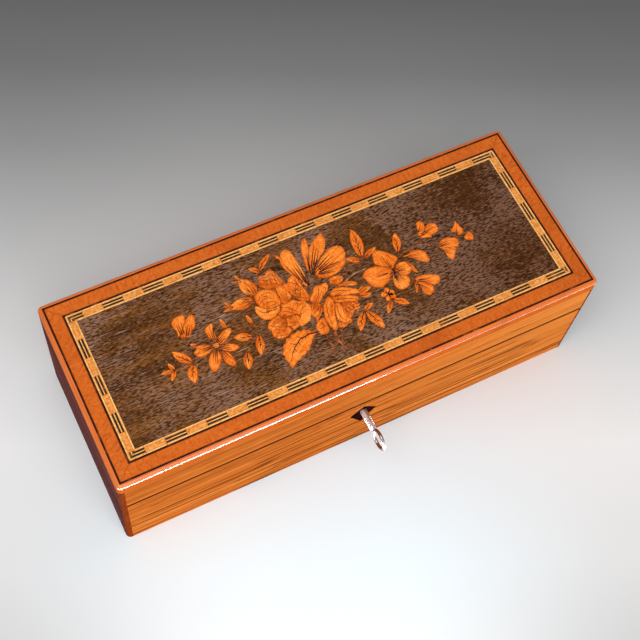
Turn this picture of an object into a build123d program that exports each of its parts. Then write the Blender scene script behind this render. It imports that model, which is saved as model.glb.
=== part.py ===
from build123d import *
import os
from math import atan2, ceil, cos, hypot, pi, radians, sin, tan

os.makedirs("parts", exist_ok=True)

# The closed box, outside. X runs along its length, Y from the front to the back, Z up from the table.
box_length = 300.0
box_width = 117.0
base_height = 56.0
lid_height = 32.0
corner_radius = 3.0
seam_gap = 0.3

# Carcass boards and their joints. A rounding takes at most its share of the wood, and cuts run out past it.
wall_thickness = 10.0
side_lap = 3.5
bottom_thickness = 6.0
bottom_rebate = 4.0
veneer_thickness = 0.9
lid_edge_height = 8.5
lid_edge_round = 2.2
fullest_round = 0.93
cut_past = 1.0

# Bands let into the top of the lid, from the edge inwards
lipping_width = 2.4
stringing_width = 0.9
crossband_width = 8.0
banding_width = 5.0
glue_line = 0.05

# Chequered dashes in the banding
dash_length = 12.0
dash_width = 0.6
dash_spread = 1.7
dash_pitch = 23.9
long_dash_offset = 9.2

# Marquetry cut with a fret saw, each side of a leaf or petal in a few straight cuts
saw_kerf = 0.15
petal_spacing = 0.8
petal_fullness = 1.6
leaf_cuts = 4
petal_cuts = 5
disc_cuts = 12

# Butt hinges, sunk so that the pin lies inside the back face
hinge_centre = 95.0
hinge_length = 38.0
hinge_inset = 2.2
leaf_thickness = 1.2
leaf_reach = 6.5
knuckle_radius = 1.6
knuckle_count = 3
knuckle_gap = 0.15
hinge_pin_radius = 0.75
running_clearance = 0.05
mortise_clearance = 0.3
opening_angle = 98.0
stop_margin = 2.0

# Countersunk screws
screw_head_radius = 1.6
screw_head_height = 0.95
screw_shank_radius = 0.8
screw_length = 7.5
wood_beyond_lock_screw = 1.6
screw_sides = 8
screw_fit = 0.03
hinge_screw_spacing = 24.0

# Box lock let into the front board
key_drop = 13.0
lock_plate_length = 52.0
lock_plate_height = 27.0
lock_plate_thickness = 1.2
lock_case_length = 43.0
lock_case_height = 24.0
lock_case_wall = 0.8
wood_before_lock = 2.6
lock_clearance = 0.1
lock_screw_inset = 2.3
rim_to_lock_screw = 1.0
bolt_travel = 4.0
bolt_side_gap = 0.4
bolt_top_gap = 0.5
bolt_end_gap = 0.4
bolt_spine_height = 2.0
bolt_tail_length = 18.0
bit_into_tail = 2.1
gullet_clearance = 0.5
hook_clearance = 0.25
staple_clearance = 0.35
spring_length = 8.4
spring_drop = 5.5
spring_gauge = 0.4
spring_gap = 0.6
staple_spacing = 25.0
staple_thickness = 1.5
staple_height = 5.2
staple_side_gap = 0.3
staple_wall = 1.0
link_screw_spacing = 43.0

# Key, seen from the escutcheon outwards
key_barrel_radius = 2.15
key_pipe_radius = 1.25
key_pipe_depth = 15.0
drill_pin_radius = 1.1
key_reach = 12.7
bow_length = 14.0
bow_height = 15.5
bow_wire = 2.1
bow_sides = 24
neck_radius = 1.3
bit_reach = 6.5
bit_thickness = 2.0
bit_side_gap = 0.6
bit_set_back = 1.0
ward_radius = 4.3
ward_thickness = 0.5
ward_height = 1.6
ward_gap_angle = 34.0
ward_clearance = 0.25
key_clearance = 0.3

# Kite escutcheon: how far its top and foot stand above and below the key, and its widest line below it
kite_half_width = 8.6
kite_rise = 6.8
kite_fall = 16.0
kite_drop = 1.6
kite_thickness = 1.5

half_length = box_length / 2
half_width = box_width / 2
inner_half_length = half_length - wall_thickness
inner_half_width = half_width - wall_thickness
base_top = base_height - seam_gap / 2
lid_bottom = base_height + seam_gap / 2
lid_top = base_height + lid_height
rail_top = lid_top - lid_edge_height
board_top = lid_top - veneer_thickness
pin_y = half_width - hinge_inset
key_z = base_height - key_drop

# The lock is as deep as the front board allows, and its staples and bolt fill that depth
lock_case_depth = wall_thickness - lock_plate_thickness - wood_before_lock
lock_room = lock_case_depth - lock_case_wall
staple_width = lock_room - 2 * staple_side_gap
staple_eye_width = staple_width - 2 * staple_wall
bolt_thickness = staple_eye_width - 2 * bolt_side_gap

# Where each band of the lid starts, measured in from the outer edge
outer_stringing_at = lipping_width
crossband_at = outer_stringing_at + stringing_width
inner_stringing_at = crossband_at + crossband_width
banding_at = inner_stringing_at + stringing_width
panel_at = banding_at + banding_width


def write_piece(piece, label):
    piece.part.label = label
    export_step(piece.part, f"parts/{label}.step")


# Tools that cut more than one board


with BuildPart() as bottom_recess:
    with Locations((0, 0, 0)):
        Box(
            2 * (inner_half_length + bottom_rebate),
            2 * (inner_half_width + bottom_rebate),
            bottom_thickness,
            align=(Align.CENTER, Align.CENTER, Align.MIN),
        )

# The back edges of base and lid are planed off behind the hinge pins. When the lid is open the two
# bevels meet and stop it.
with BuildPart() as stop_bevel:
    bevel_angle = radians((opening_angle + stop_margin) / 2)
    bevel_depth = hinge_inset + cut_past
    bevel_rise = bevel_depth * tan(bevel_angle)
    with BuildSketch(Plane.YZ):
        with BuildLine():
            Polyline(
                (pin_y, base_height),
                (pin_y + bevel_depth, base_height + bevel_rise),
                (pin_y + bevel_depth, base_height - bevel_rise),
                close=True,
            )
        make_face()
    extrude(amount=half_length + cut_past, both=True)

# Room for both leaves and the knuckles of each hinge
with BuildPart() as hinge_mortise:
    with BuildSketch(Plane.YZ.offset(-hinge_length / 2 - mortise_clearance)):
        with Locations((pin_y - leaf_reach / 2, base_height)):
            Rectangle(leaf_reach, seam_gap + 2 * leaf_thickness)
    extrude(amount=hinge_length + 2 * mortise_clearance)
    with BuildSketch(Plane.YZ.offset(-hinge_length / 2 - cut_past)):
        with Locations((pin_y, base_height)):
            Circle(knuckle_radius + mortise_clearance)
    extrude(amount=hinge_length + 2 * cut_past)

hinge_spots = Locations((-hinge_centre, 0, 0), (hinge_centre, 0, 0))


def screw(grow, length=screw_length):
    """A screw with its head up at the origin, or its hole where grow is added all round."""
    with BuildPart() as body:
        with BuildSketch():
            RegularPolygon(screw_head_radius + grow, screw_sides)
        extrude(amount=-screw_head_height)
        chamfer(
            body.edges().group_by(Axis.Z)[0],
            (screw_head_radius - screw_shank_radius) * cos(pi / screw_sides),
        )
        with BuildSketch(Plane.XY.offset(-screw_head_height)):
            RegularPolygon(screw_shank_radius + grow, screw_sides)
        extrude(amount=screw_head_height - length - grow)
    return body


wood_screw = screw(0)
screw_hole = screw(screw_fit)
lock_screw_length = wall_thickness - veneer_thickness - wood_beyond_lock_screw
lock_screw = screw(0, lock_screw_length)
lock_screw_hole = screw(screw_fit, lock_screw_length)

# Screws of a leaf stand in its middle line, from x = 0 at the hinge's centre
plate_edge = pin_y - knuckle_radius - knuckle_gap
leaf_screw_y = (pin_y - leaf_reach + plate_edge) / 2
leaf_screw_x = [-hinge_screw_spacing / 2, hinge_screw_spacing / 2]


def leaf_screw_planes(side):
    """Planes of the screws in the base's leaves (side -1, driven down) or the lid's (side 1)."""
    level = base_height + side * seam_gap / 2
    return [
        Plane(origin=(centre + x, leaf_screw_y, level), x_dir=(1, 0, 0), z_dir=(0, 0, -side))
        for centre in (-hinge_centre, hinge_centre)
        for x in leaf_screw_x
    ]


# Room for the lock: its case, its plate on the inner face and the rim along the top edge
lock_back = -inner_half_width
case_front = lock_back - lock_plate_thickness - lock_case_depth
rim_front = case_front - lock_clearance

with BuildPart() as lock_mortise:
    with Locations((0, lock_back, base_top)):
        Box(
            lock_case_length + 2 * lock_clearance,
            lock_back - rim_front,
            lock_case_height + lock_clearance,
            align=(Align.CENTER, Align.MAX, Align.MAX),
        )
        Box(
            lock_plate_length,
            lock_plate_thickness,
            lock_plate_height,
            align=(Align.CENTER, Align.MAX, Align.MAX),
        )
        Box(
            lock_plate_length,
            lock_back - rim_front,
            lock_plate_thickness,
            align=(Align.CENTER, Align.MAX, Align.MAX),
        )

# The keyhole: round for the barrel, with a slot below for the bit
with BuildPart() as keyhole:
    with BuildSketch(Plane.XZ.offset(-lock_back + lock_plate_thickness)):
        with Locations((0, key_z)):
            Circle(key_barrel_radius + key_clearance)
            Rectangle(
                bit_thickness + 2 * key_clearance,
                bit_reach + key_clearance,
                align=(Align.CENTER, Align.MAX),
            )
    extrude(amount=half_width + lock_back - lock_plate_thickness + cut_past)

kite_outline = [
    (0, key_z + kite_rise),
    (kite_half_width, key_z - kite_drop),
    (0, key_z - kite_fall),
    (-kite_half_width, key_z - kite_drop),
]


def kite(grow):
    """The escutcheon's outline run back from the front face, or its recess."""
    with BuildPart() as plate:
        with BuildSketch(Plane.XZ.offset(half_width)):
            with BuildLine():
                Polyline(*kite_outline, close=True)
            make_face()
            if grow:
                offset(amount=grow, kind=Kind.INTERSECTION)
        extrude(amount=-kite_thickness)
    return plate


kite_recess = kite(glue_line)

# Screws that hold the lock, driven from inside the box through the wings of its plate
lock_screw_x = lock_plate_length / 2 - lock_screw_inset
lock_screw_levels = [
    base_top - lock_plate_thickness - lock_screw_inset - rim_to_lock_screw,
    base_top - lock_plate_height + lock_screw_inset,
]
lock_screw_planes = [
    Plane(origin=(x, lock_back, z), x_dir=(1, 0, 0), z_dir=(0, 1, 0))
    for x in (-lock_screw_x, lock_screw_x)
    for z in lock_screw_levels
]


# Boards


def long_board(side, low, high, cuts):
    """Front (side -1) or back (side 1) board, standing between the laps of the side boards."""
    with BuildPart() as board:
        with BuildSketch(Plane.XY.offset(low)):
            with Locations((0, side * (half_width - veneer_thickness))):
                Rectangle(
                    box_length - 2 * side_lap,
                    wall_thickness - veneer_thickness,
                    align=(Align.CENTER, Align.MIN if side < 0 else Align.MAX),
                )
        extrude(amount=high - low)
        for cut in cuts:
            add(cut, mode=Mode.SUBTRACT)
    return board


def long_veneer(side, low, high, cuts):
    """Veneer on the outer face of a long board, with its grain along the box."""
    with BuildPart() as sheet:
        with BuildSketch(Plane.XY.offset(low)):
            with Locations((0, side * half_width)):
                Rectangle(
                    box_length - 2 * side_lap,
                    veneer_thickness,
                    align=(Align.CENTER, Align.MIN if side < 0 else Align.MAX),
                )
        extrude(amount=high - low)
        for cut in cuts:
            add(cut, mode=Mode.SUBTRACT)
    return sheet


def side_board(side, low, high, cuts):
    """Left (side -1) or right (side 1) board: a tongue between the long boards and a lap over their ends."""
    lap_face = half_length - side_lap
    with BuildPart() as board:
        with BuildSketch(Plane.XY.offset(low)) as plan:
            with BuildLine():
                Polyline(
                    (side * inner_half_length, -inner_half_width),
                    (side * lap_face, -inner_half_width),
                    (side * lap_face, -half_width),
                    (side * half_length, -half_width),
                    (side * half_length, half_width),
                    (side * lap_face, half_width),
                    (side * lap_face, inner_half_width),
                    (side * inner_half_length, inner_half_width),
                    close=True,
                )
            make_face()
            outer_corners = plan.vertices().filter_by(lambda corner: abs(corner.X) > lap_face + side_lap / 2)
            fillet(outer_corners, min(corner_radius, fullest_round * side_lap))
        extrude(amount=high - low)
        for cut in cuts:
            add(cut, mode=Mode.SUBTRACT)
    return board


def cut_at(tool, locations):
    """Copies of a cutting tool at each place, as one part."""
    with BuildPart() as copies:
        with locations:
            add(tool.part)
    return copies.part


bottom_cut = bottom_recess.part
bevel_cut = stop_bevel.part
hinge_cut = cut_at(hinge_mortise, hinge_spots)
base_hinge_screw_cut = cut_at(screw_hole, Locations(*leaf_screw_planes(-1)))
lid_hinge_screw_cut = cut_at(screw_hole, Locations(*leaf_screw_planes(1)))
lock_screw_cut = cut_at(lock_screw_hole, Locations(*lock_screw_planes))

base_front_board = long_board(
    -1, 0, base_top, [bottom_cut, lock_mortise.part, keyhole.part, kite_recess.part, lock_screw_cut]
)
write_piece(base_front_board, "base_front_board")
base_back_board = long_board(1, 0, base_top, [bottom_cut, bevel_cut, hinge_cut, base_hinge_screw_cut])
write_piece(base_back_board, "base_back_board")
write_piece(side_board(-1, 0, base_top, [bottom_cut, bevel_cut]), "base_left_board")
write_piece(side_board(1, 0, base_top, [bottom_cut, bevel_cut]), "base_right_board")
write_piece(bottom_recess, "bottom_board")
write_piece(long_veneer(-1, 0, base_top, [keyhole.part, kite_recess.part]), "base_front_veneer")
write_piece(long_veneer(1, 0, base_top, [bevel_cut, hinge_cut]), "base_back_veneer")

# The escutcheon of black wood, let in flush and pierced for the key
escutcheon = kite(0)
with BuildPart() as pierced_escutcheon:
    add(escutcheon.part)
    add(keyhole.part, mode=Mode.SUBTRACT)
write_piece(pierced_escutcheon, "escutcheon")


# Lid frame. The link plate is let into the underside of the front rail.
with BuildPart() as link_recess:
    with Locations((0, lock_back, lid_bottom)):
        Box(
            lock_plate_length,
            lock_back - rim_front,
            lock_plate_thickness,
            align=(Align.CENTER, Align.MAX, Align.MIN),
        )

staple_y = lock_back - lock_plate_thickness - lock_room / 2
link_screw_planes = [
    Plane(origin=(x, staple_y, lid_bottom), x_dir=(1, 0, 0), z_dir=(0, 0, -1))
    for x in (-link_screw_spacing / 2, link_screw_spacing / 2)
]
link_screw_cut = cut_at(screw_hole, Locations(*link_screw_planes))

write_piece(long_board(-1, lid_bottom, rail_top, [link_recess.part, link_screw_cut]), "lid_front_rail")
lid_back_cuts = [bevel_cut, hinge_cut, lid_hinge_screw_cut]
write_piece(long_board(1, lid_bottom, rail_top, lid_back_cuts), "lid_back_rail")
write_piece(side_board(-1, lid_bottom, rail_top, [bevel_cut]), "lid_left_rail")
write_piece(side_board(1, lid_bottom, rail_top, [bevel_cut]), "lid_right_rail")
write_piece(long_veneer(-1, lid_bottom, rail_top, []), "lid_front_veneer")
write_piece(long_veneer(1, lid_bottom, rail_top, [bevel_cut, hinge_cut]), "lid_back_veneer")

with BuildPart() as lid_top_board:
    with BuildSketch(Plane.XY.offset(rail_top)):
        Rectangle(box_length - 2 * lipping_width, box_width - 2 * lipping_width)
    extrude(amount=board_top - rail_top)
write_piece(lid_top_board, "lid_top_board")


# Bands of the lid, mitred at the corners


def ring_corners(inset):
    """Corners of a rectangle drawn inside the lid's edge, in order round it."""
    x, y = half_length - inset, half_width - inset
    return [(-x, -y), (x, -y), (x, y), (-x, y)]


def draw_mitred_strips(outer_inset, inner_inset, joint):
    """Four strips between two rectangles, each kept half a joint back from its mitres."""
    outer, inner = ring_corners(outer_inset), ring_corners(inner_inset)
    back_off = joint / 2 * 2**0.5
    for i, (step_x, step_y) in enumerate(((1, 0), (0, 1), (-1, 0), (0, -1))):
        j = (i + 1) % 4
        strip = [
            (outer[i][0] + step_x * back_off, outer[i][1] + step_y * back_off),
            (outer[j][0] - step_x * back_off, outer[j][1] - step_y * back_off),
            (inner[j][0] - step_x * back_off, inner[j][1] - step_y * back_off),
            (inner[i][0] + step_x * back_off, inner[i][1] + step_y * back_off),
        ]
        Polygon(*strip, align=None)


def mitred_band(outer_inset, inner_inset):
    with BuildPart() as band:
        with BuildSketch(Plane.XY.offset(board_top)):
            draw_mitred_strips(outer_inset, inner_inset, glue_line)
        extrude(amount=veneer_thickness)
    return band


# The lipping stands the full height of the lid's edge and is rounded over along the top
with BuildPart() as lid_edge_lipping:
    with BuildSketch(Plane.XY.offset(rail_top)) as lipping_plan:
        RectangleRounded(box_length, box_width, corner_radius)
        Rectangle(box_length - 2 * lipping_width, box_width - 2 * lipping_width, mode=Mode.SUBTRACT)
    extrude(amount=lid_edge_height)
    top_rim = lid_edge_lipping.faces().sort_by(Axis.Z)[-1].outer_wire().edges()
    fillet(top_rim, min(lid_edge_round, fullest_round * lipping_width))
    with BuildSketch(Plane.XY.offset(rail_top)):
        for side_x in (-1, 1):
            for side_y in (-1, 1):
                corner = (side_x * half_length, side_y * half_width)
                with BuildLine():
                    Line(corner, (corner[0] - side_x * wall_thickness, corner[1] - side_y * wall_thickness))
                trace(line_width=glue_line)
    extrude(amount=lid_edge_height, mode=Mode.SUBTRACT)
write_piece(lid_edge_lipping, "lid_edge_lipping")

write_piece(mitred_band(outer_stringing_at, crossband_at), "outer_stringing")
write_piece(mitred_band(crossband_at, inner_stringing_at), "crossbanding")
write_piece(mitred_band(inner_stringing_at, banding_at), "inner_stringing")


def dashes():
    """Every dash of the banding: its middle, its length and its turn."""
    middle_x = half_length - banding_at - banding_width / 2
    middle_y = half_width - banding_at - banding_width / 2
    steps = ceil(half_length / dash_pitch)
    found = []
    for out in (-dash_spread / 2, dash_spread / 2):
        limit = middle_x + out - dash_width / 2 - glue_line
        for side in (-1, 1):
            for step in range(-steps, steps + 1):
                x = long_dash_offset + dash_pitch * step
                start, end = max(x - dash_length / 2, -limit), min(x + dash_length / 2, limit)
                if end - start > dash_spread:
                    found.append(((start + end) / 2, side * (middle_y + out), end - start, 0))
            for step in (-1, 0, 1):
                found.append((side * (middle_x + out), dash_pitch * step, dash_length, 90))
    return found


def draw_dashes(grow):
    for x, y, length, turn in dashes():
        with Locations(Location((x, y, 0), (0, 0, turn))):
            Rectangle(length + 2 * grow, dash_width + 2 * grow)


with BuildPart() as banding:
    with BuildSketch(Plane.XY.offset(board_top)):
        draw_mitred_strips(banding_at, panel_at, glue_line)
    extrude(amount=veneer_thickness)
    with BuildSketch(Plane.XY.offset(board_top)):
        draw_dashes(glue_line / 2)
    extrude(amount=veneer_thickness, mode=Mode.SUBTRACT)
write_piece(banding, "banding")

with BuildPart() as banding_dashes:
    with BuildSketch(Plane.XY.offset(board_top)):
        draw_dashes(0)
    extrude(amount=veneer_thickness)
write_piece(banding_dashes, "banding_dashes")


# Marquetry. Each piece is drawn from its foot to its tip. A piece lying under another is sawn to fit
# round it.


def along_and_across(foot, tip):
    """Length of a piece, and functions of its own: a point so far along it and so far to its left."""
    length = hypot(tip[0] - foot[0], tip[1] - foot[1])
    turn = atan2(tip[1] - foot[1], tip[0] - foot[0])

    def point(along, left):
        x = foot[0] + along * cos(turn) - left * sin(turn)
        y = foot[1] + along * sin(turn) + left * cos(turn)
        return (x, y)

    return length, point


def cut_face(outline):
    with BuildSketch(Plane.XY.offset(board_top)) as face:
        Polygon(*outline, align=None)
    return face.sketch


def leaf(foot, tip, width, bow=0.0, grow=0.0):
    """Pointed at both ends and widest in the middle; bow bends it to its left."""
    length, point = along_and_across(foot, tip)
    steps = [i / leaf_cuts for i in range(leaf_cuts + 1)]
    ends = [-grow + (length + 2 * grow) * t for t in steps]
    left = [point(x, (bow + width / 2 + grow) * sin(pi * t)) for x, t in zip(ends, steps)]
    right = [point(x, (bow - width / 2 - grow) * sin(pi * t)) for x, t in zip(ends, steps)]
    return cut_face(left + right[-2:0:-1])


def petal(foot, tip, width, bow=0.0, grow=0.0):
    """Narrow at its foot and full towards a round tip."""
    length, point = along_and_across(foot, tip)
    steps = [(i / petal_cuts) ** petal_spacing for i in range(petal_cuts + 1)]
    ends = [-grow + (length + 2 * grow) * t for t in steps]
    left = [point(x, (bow + width / 2 + grow) * sin(pi * t**petal_fullness)) for x, t in zip(ends, steps)]
    right = [point(x, (bow - width / 2 - grow) * sin(pi * t**petal_fullness)) for x, t in zip(ends, steps)]
    return cut_face(left + right[-2:0:-1])


def disc(centre, width, height, turn=0.0, grow=0.0):
    """A rounded bloom."""
    point = along_and_across(centre, (centre[0] + cos(radians(turn)), centre[1] + sin(radians(turn))))[1]
    angles = [2 * pi * i / disc_cuts for i in range(disc_cuts)]
    return cut_face([point((width / 2 + grow) * cos(a), (height / 2 + grow) * sin(a)) for a in angles])


def stem(points, width, grow=0.0):
    """A thin strip bent along three points."""
    with BuildSketch(Plane.XY.offset(board_top)) as face:
        with BuildLine():
            ThreePointArc(*points)
        trace(line_width=width + 2 * grow)
    return face.sketch


# Left end of the spray: a tulip, a six-petalled star and its leaves
star_heart = (-68.8, -4.5)
tulip = [
    (leaf, (-81.0, 6.6), (-80.4, 21.5), 4.6),
    (leaf, (-81.2, 6.8), (-85.2, 18.6), 4.4, 0.9),
    (leaf, (-80.6, 6.8), (-74.2, 19.2), 4.4, -0.9),
]
star_flower = [
    (leaf, star_heart, (-66.4, 9.6), 4.8),
    (leaf, star_heart, (-57.8, 2.2), 4.8),
    (leaf, star_heart, (-57.6, -9.4), 4.8),
    (leaf, star_heart, (-64.0, -19.4), 5.0),
    (leaf, star_heart, (-76.6, -18.4), 5.0),
    (leaf, star_heart, (-82.6, -4.4), 5.0),
]
left_leaves = [
    (leaf, (-85.5, -8.0), (-92.6, 2.2), 5.8),
    (leaf, (-86.0, -9.6), (-89.2, -19.6), 6.0),
    (leaf, (-97.2, -8.4), (-103.2, -7.4), 2.6),
    (leaf, (-95.0, -9.6), (-99.6, -13.2), 2.4),
]
left_stems = [
    (stem, ((-95.0, -8.2), (-90.5, -9.0), (-85.4, -8.8)), 0.8),
    (stem, ((-57.6, 0.2), (-48.0, -0.8), (-40.6, -5.6)), 0.9),
]
small_buds = [
    (leaf, (-48.6, -7.0), (-58.2, -3.8), 5.0),
    (leaf, (-45.2, -8.2), (-48.8, -19.3), 4.8),
    (leaf, (-55.6, -14.8), (-58.6, -24.2), 5.0),
]

# Middle of the spray: two rosebuds, a lily and two full roses
rosebuds = [
    (petal, (-36.4, 15.6), (-41.2, 29.6), 7.6),
    (petal, (-39.2, 13.6), (-54.6, 14.2), 7.0),
]
lily = [
    (leaf, (-6.6, 8.0), (-9.6, 35.2), 5.4),
    (leaf, (-6.8, 9.0), (-15.6, 33.6), 5.6),
    (leaf, (-1.2, 15.0), (22.6, 23.6), 9.6),
    (leaf, (-1.4, 15.4), (15.8, 36.6), 8.4),
    (leaf, (-2.0, 16.2), (4.8, 37.0), 5.6),
    (petal, (-0.6, 14.0), (21.6, 13.2), 9.0),
]
left_rose = [
    (disc, (-32.4, 9.6), 15.6, 15.0),
    (disc, (-22.4, 12.4), 12.6, 17.0, 10.0),
    (petal, (-24.4, 16.4), (-26.8, 27.4), 13.4),
    (disc, (-15.0, 3.4), 12.0, 12.6),
    (disc, (-27.2, -1.4), 22.0, 16.4, -8.0),
    (petal, (-22.6, -6.0), (-13.4, -14.0), 11.0),
]
right_rose = [
    (petal, (13.6, -8.4), (-1.8, -16.4), 15.0),
    (petal, (17.4, -10.2), (2.4, -2.2), 12.0),
    (petal, (-12.2, -12.4), (0.6, 5.8), 8.6),
    (disc, (12.4, -13.6), 8.0, 8.6),
    (petal, (8.0, -1.0), (17.0, 4.4), 6.0),
    (leaf, (16.4, -7.8), (26.2, -6.8), 6.2),
]
centre_leaves = [
    (leaf, (-14.6, -18.2), (-36.8, -33.6), 12.4),
    (leaf, (-27.6, 28.6), (-17.8, 36.0), 3.4),
    (leaf, (15.4, -20.0), (8.4, -29.2), 4.6),
    (leaf, (17.4, -20.4), (21.2, -33.2), 5.0),
]
centre_stems = [
    (stem, ((-5.6, -23.6), (-5.0, -30.0), (-2.8, -36.6)), 0.9),
    (stem, ((15.0, 2.6), (22.0, 5.2), (28.6, 5.4)), 0.9),
]

# Right end of the spray: a five-petalled flower and sprays of bells
flower_heart = (42.6, -2.8)
five_petal_flower = [
    (petal, flower_heart, (38.8, 13.0), 10.6),
    (petal, flower_heart, (25.0, -1.6), 12.8),
    (petal, flower_heart, (49.6, 3.8), 6.4),
    (petal, flower_heart, (53.4, -6.8), 7.4),
    (petal, flower_heart, (44.0, -16.4), 9.8),
]
bells = [
    (petal, (68.9, 10.0), (79.6, 15.6), 6.6),
    (leaf, (69.4, 10.0), (71.6, 20.2), 5.0),
    (petal, (75.0, 1.2), (86.6, -0.6), 7.6),
    (petal, (75.4, 0.6), (79.0, -10.6), 7.6),
    (petal, (51.6, -13.2), (65.4, -18.4), 8.0),
    (petal, (51.6, -13.6), (55.4, -25.2), 6.6),
    (petal, (51.0, 3.4), (65.6, -3.4), 8.0),
]
right_leaves = [
    (leaf, (30.2, 12.6), (32.9, 31.6), 6.8),
    (leaf, (28.4, 11.4), (21.8, 15.2), 4.0),
    (leaf, (51.0, 7.2), (55.4, 19.2), 5.0),
    (leaf, (34.2, -19.4), (41.2, -25.0), 4.4),
    (leaf, (89.6, 2.0), (92.4, 11.4), 4.6),
    (leaf, (93.2, 3.2), (94.8, -4.6), 4.6),
]
right_stems = [
    (stem, ((53.2, 5.2), (60.8, 7.2), (68.0, 8.6)), 0.9),
    (stem, ((94.2, 4.6), (98.0, 5.8), (102.0, 5.6)), 0.7),
]

# In the order in which the pieces lie on one another, the uppermost first
spray = [
    ("flower_inlays", right_rose + left_rose + lily),
    ("bud_inlays", rosebuds),
    ("flower_inlays", star_flower + five_petal_flower),
    ("bud_inlays", tulip + small_buds + bells),
    ("leaf_inlays", left_leaves + centre_leaves + right_leaves),
    ("stem_inlays", left_stems + centre_stems + right_stems),
]


def near(one, other):
    """Whether the boxes round two faces meet."""
    a, b = one.bounding_box(), other.bounding_box()
    return a.min.X < b.max.X and b.min.X < a.max.X and a.min.Y < b.max.Y and b.min.Y < a.max.Y


sawn_openings = []
inlay_faces = {}
for label, pieces in spray:
    for shape, *sizes in pieces:
        outline = shape(*sizes)
        with BuildSketch(Plane.XY.offset(board_top)) as fitted:
            add(outline)
            for opening in sawn_openings:
                if near(outline, opening):
                    add(opening, mode=Mode.SUBTRACT)
        inlay_faces.setdefault(label, []).append(fitted.sketch)
        sawn_openings.append(shape(*sizes, grow=saw_kerf))

for label, faces in inlay_faces.items():
    with BuildPart() as inlay:
        for face in faces:
            with BuildSketch(Plane.XY.offset(board_top)):
                add(face)
            extrude(amount=veneer_thickness)
    write_piece(inlay, label)

with BuildPart() as marquetry_ground:
    with BuildSketch(Plane.XY.offset(board_top)):
        Rectangle(box_length - 2 * panel_at, box_width - 2 * panel_at)
        for opening in sawn_openings:
            add(opening, mode=Mode.SUBTRACT)
    extrude(amount=veneer_thickness)
write_piece(marquetry_ground, "marquetry_ground")


# Hinges, built at x = 0 and copied to both places


def hinge_leaves(side, own_knuckles):
    """Both leaves of the base (side -1) or the lid (side 1), with their knuckles rolled round the pins."""
    plate_level = base_height + side * (seam_gap + leaf_thickness) / 2
    pitch = hinge_length / knuckle_count
    with BuildPart() as blank:
        with BuildSketch(Plane.YZ.offset(-hinge_length / 2)):
            with Locations(((pin_y - leaf_reach + plate_edge) / 2, plate_level)):
                Rectangle(plate_edge - pin_y + leaf_reach, leaf_thickness)
        extrude(amount=hinge_length)
        for knuckle in own_knuckles:
            start = -hinge_length / 2 + knuckle * pitch + knuckle_gap / 2
            with BuildSketch(Plane.YZ.offset(start)):
                with Locations(((plate_edge + pin_y) / 2, plate_level)):
                    Rectangle(pin_y - plate_edge, leaf_thickness)
                with Locations((pin_y, base_height)):
                    Circle(knuckle_radius)
            extrude(amount=pitch - knuckle_gap)
        with BuildSketch(Plane.YZ.offset(-hinge_length / 2)):
            with Locations((pin_y, base_height)):
                Circle(hinge_pin_radius + running_clearance)
        extrude(amount=hinge_length, mode=Mode.SUBTRACT)
    with BuildPart() as leaves:
        with hinge_spots:
            add(blank.part)
        with Locations(*leaf_screw_planes(side)):
            add(screw_hole.part, mode=Mode.SUBTRACT)
    return leaves


write_piece(hinge_leaves(-1, range(0, knuckle_count, 2)), "base_hinge_leaves")
write_piece(hinge_leaves(1, range(1, knuckle_count, 2)), "lid_hinge_leaves")

with BuildPart() as hinge_pins:
    for centre in (-hinge_centre, hinge_centre):
        with BuildSketch(Plane.YZ.offset(centre - hinge_length / 2)):
            with Locations((pin_y, base_height)):
                Circle(hinge_pin_radius)
        extrude(amount=hinge_length)
write_piece(hinge_pins, "hinge_pins")


def screws_at(planes, one=wood_screw):
    with BuildPart() as screws:
        with Locations(*planes):
            add(one.part)
    return screws


write_piece(screws_at(leaf_screw_planes(-1)), "base_hinge_screws")
write_piece(screws_at(leaf_screw_planes(1)), "lid_hinge_screws")
write_piece(screws_at(lock_screw_planes, lock_screw), "lock_screws")
write_piece(screws_at(link_screw_planes), "link_plate_screws")


# Lock. The plate shows inside the box and its rim closes the top of the mortise. Two slots let the
# staples in.
staple_places = [(-staple_spacing / 2, staple_y), (staple_spacing / 2, staple_y)]

with BuildPart() as lock_plate:
    with Locations((0, lock_back, base_top)):
        Box(
            lock_plate_length,
            lock_plate_thickness,
            lock_plate_height,
            align=(Align.CENTER, Align.MAX, Align.MAX),
        )
        Box(
            lock_plate_length,
            lock_back - rim_front,
            lock_plate_thickness,
            align=(Align.CENTER, Align.MAX, Align.MAX),
        )
    with BuildSketch(Plane.XY.offset(base_top)):
        with Locations(*staple_places):
            Rectangle(staple_thickness + 2 * key_clearance, staple_width + 2 * key_clearance)
    extrude(amount=-lock_plate_thickness, mode=Mode.SUBTRACT)
    with Locations(*lock_screw_planes):
        add(lock_screw_hole.part, mode=Mode.SUBTRACT)
    with BuildSketch(Plane.XZ.offset(-lock_back)):
        with Locations((0, key_z)):
            Circle(drill_pin_radius)
    extrude(amount=lock_plate_thickness, mode=Mode.SUBTRACT)
write_piece(lock_plate, "lock_plate")

# The case is a shallow tray over the works, open towards the plate
with BuildPart() as lock_case:
    case_top = base_top - lock_plate_thickness
    with Locations((0, lock_back - lock_plate_thickness, case_top)):
        Box(
            lock_case_length,
            lock_case_depth,
            lock_case_height - lock_plate_thickness,
            align=(Align.CENTER, Align.MAX, Align.MAX),
        )
        Box(
            lock_case_length - 2 * lock_case_wall,
            lock_case_depth - lock_case_wall,
            lock_case_height - lock_plate_thickness - lock_case_wall,
            align=(Align.CENTER, Align.MAX, Align.MAX),
            mode=Mode.SUBTRACT,
        )
    add(keyhole.part, mode=Mode.SUBTRACT)
write_piece(lock_case, "lock_case")

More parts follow.
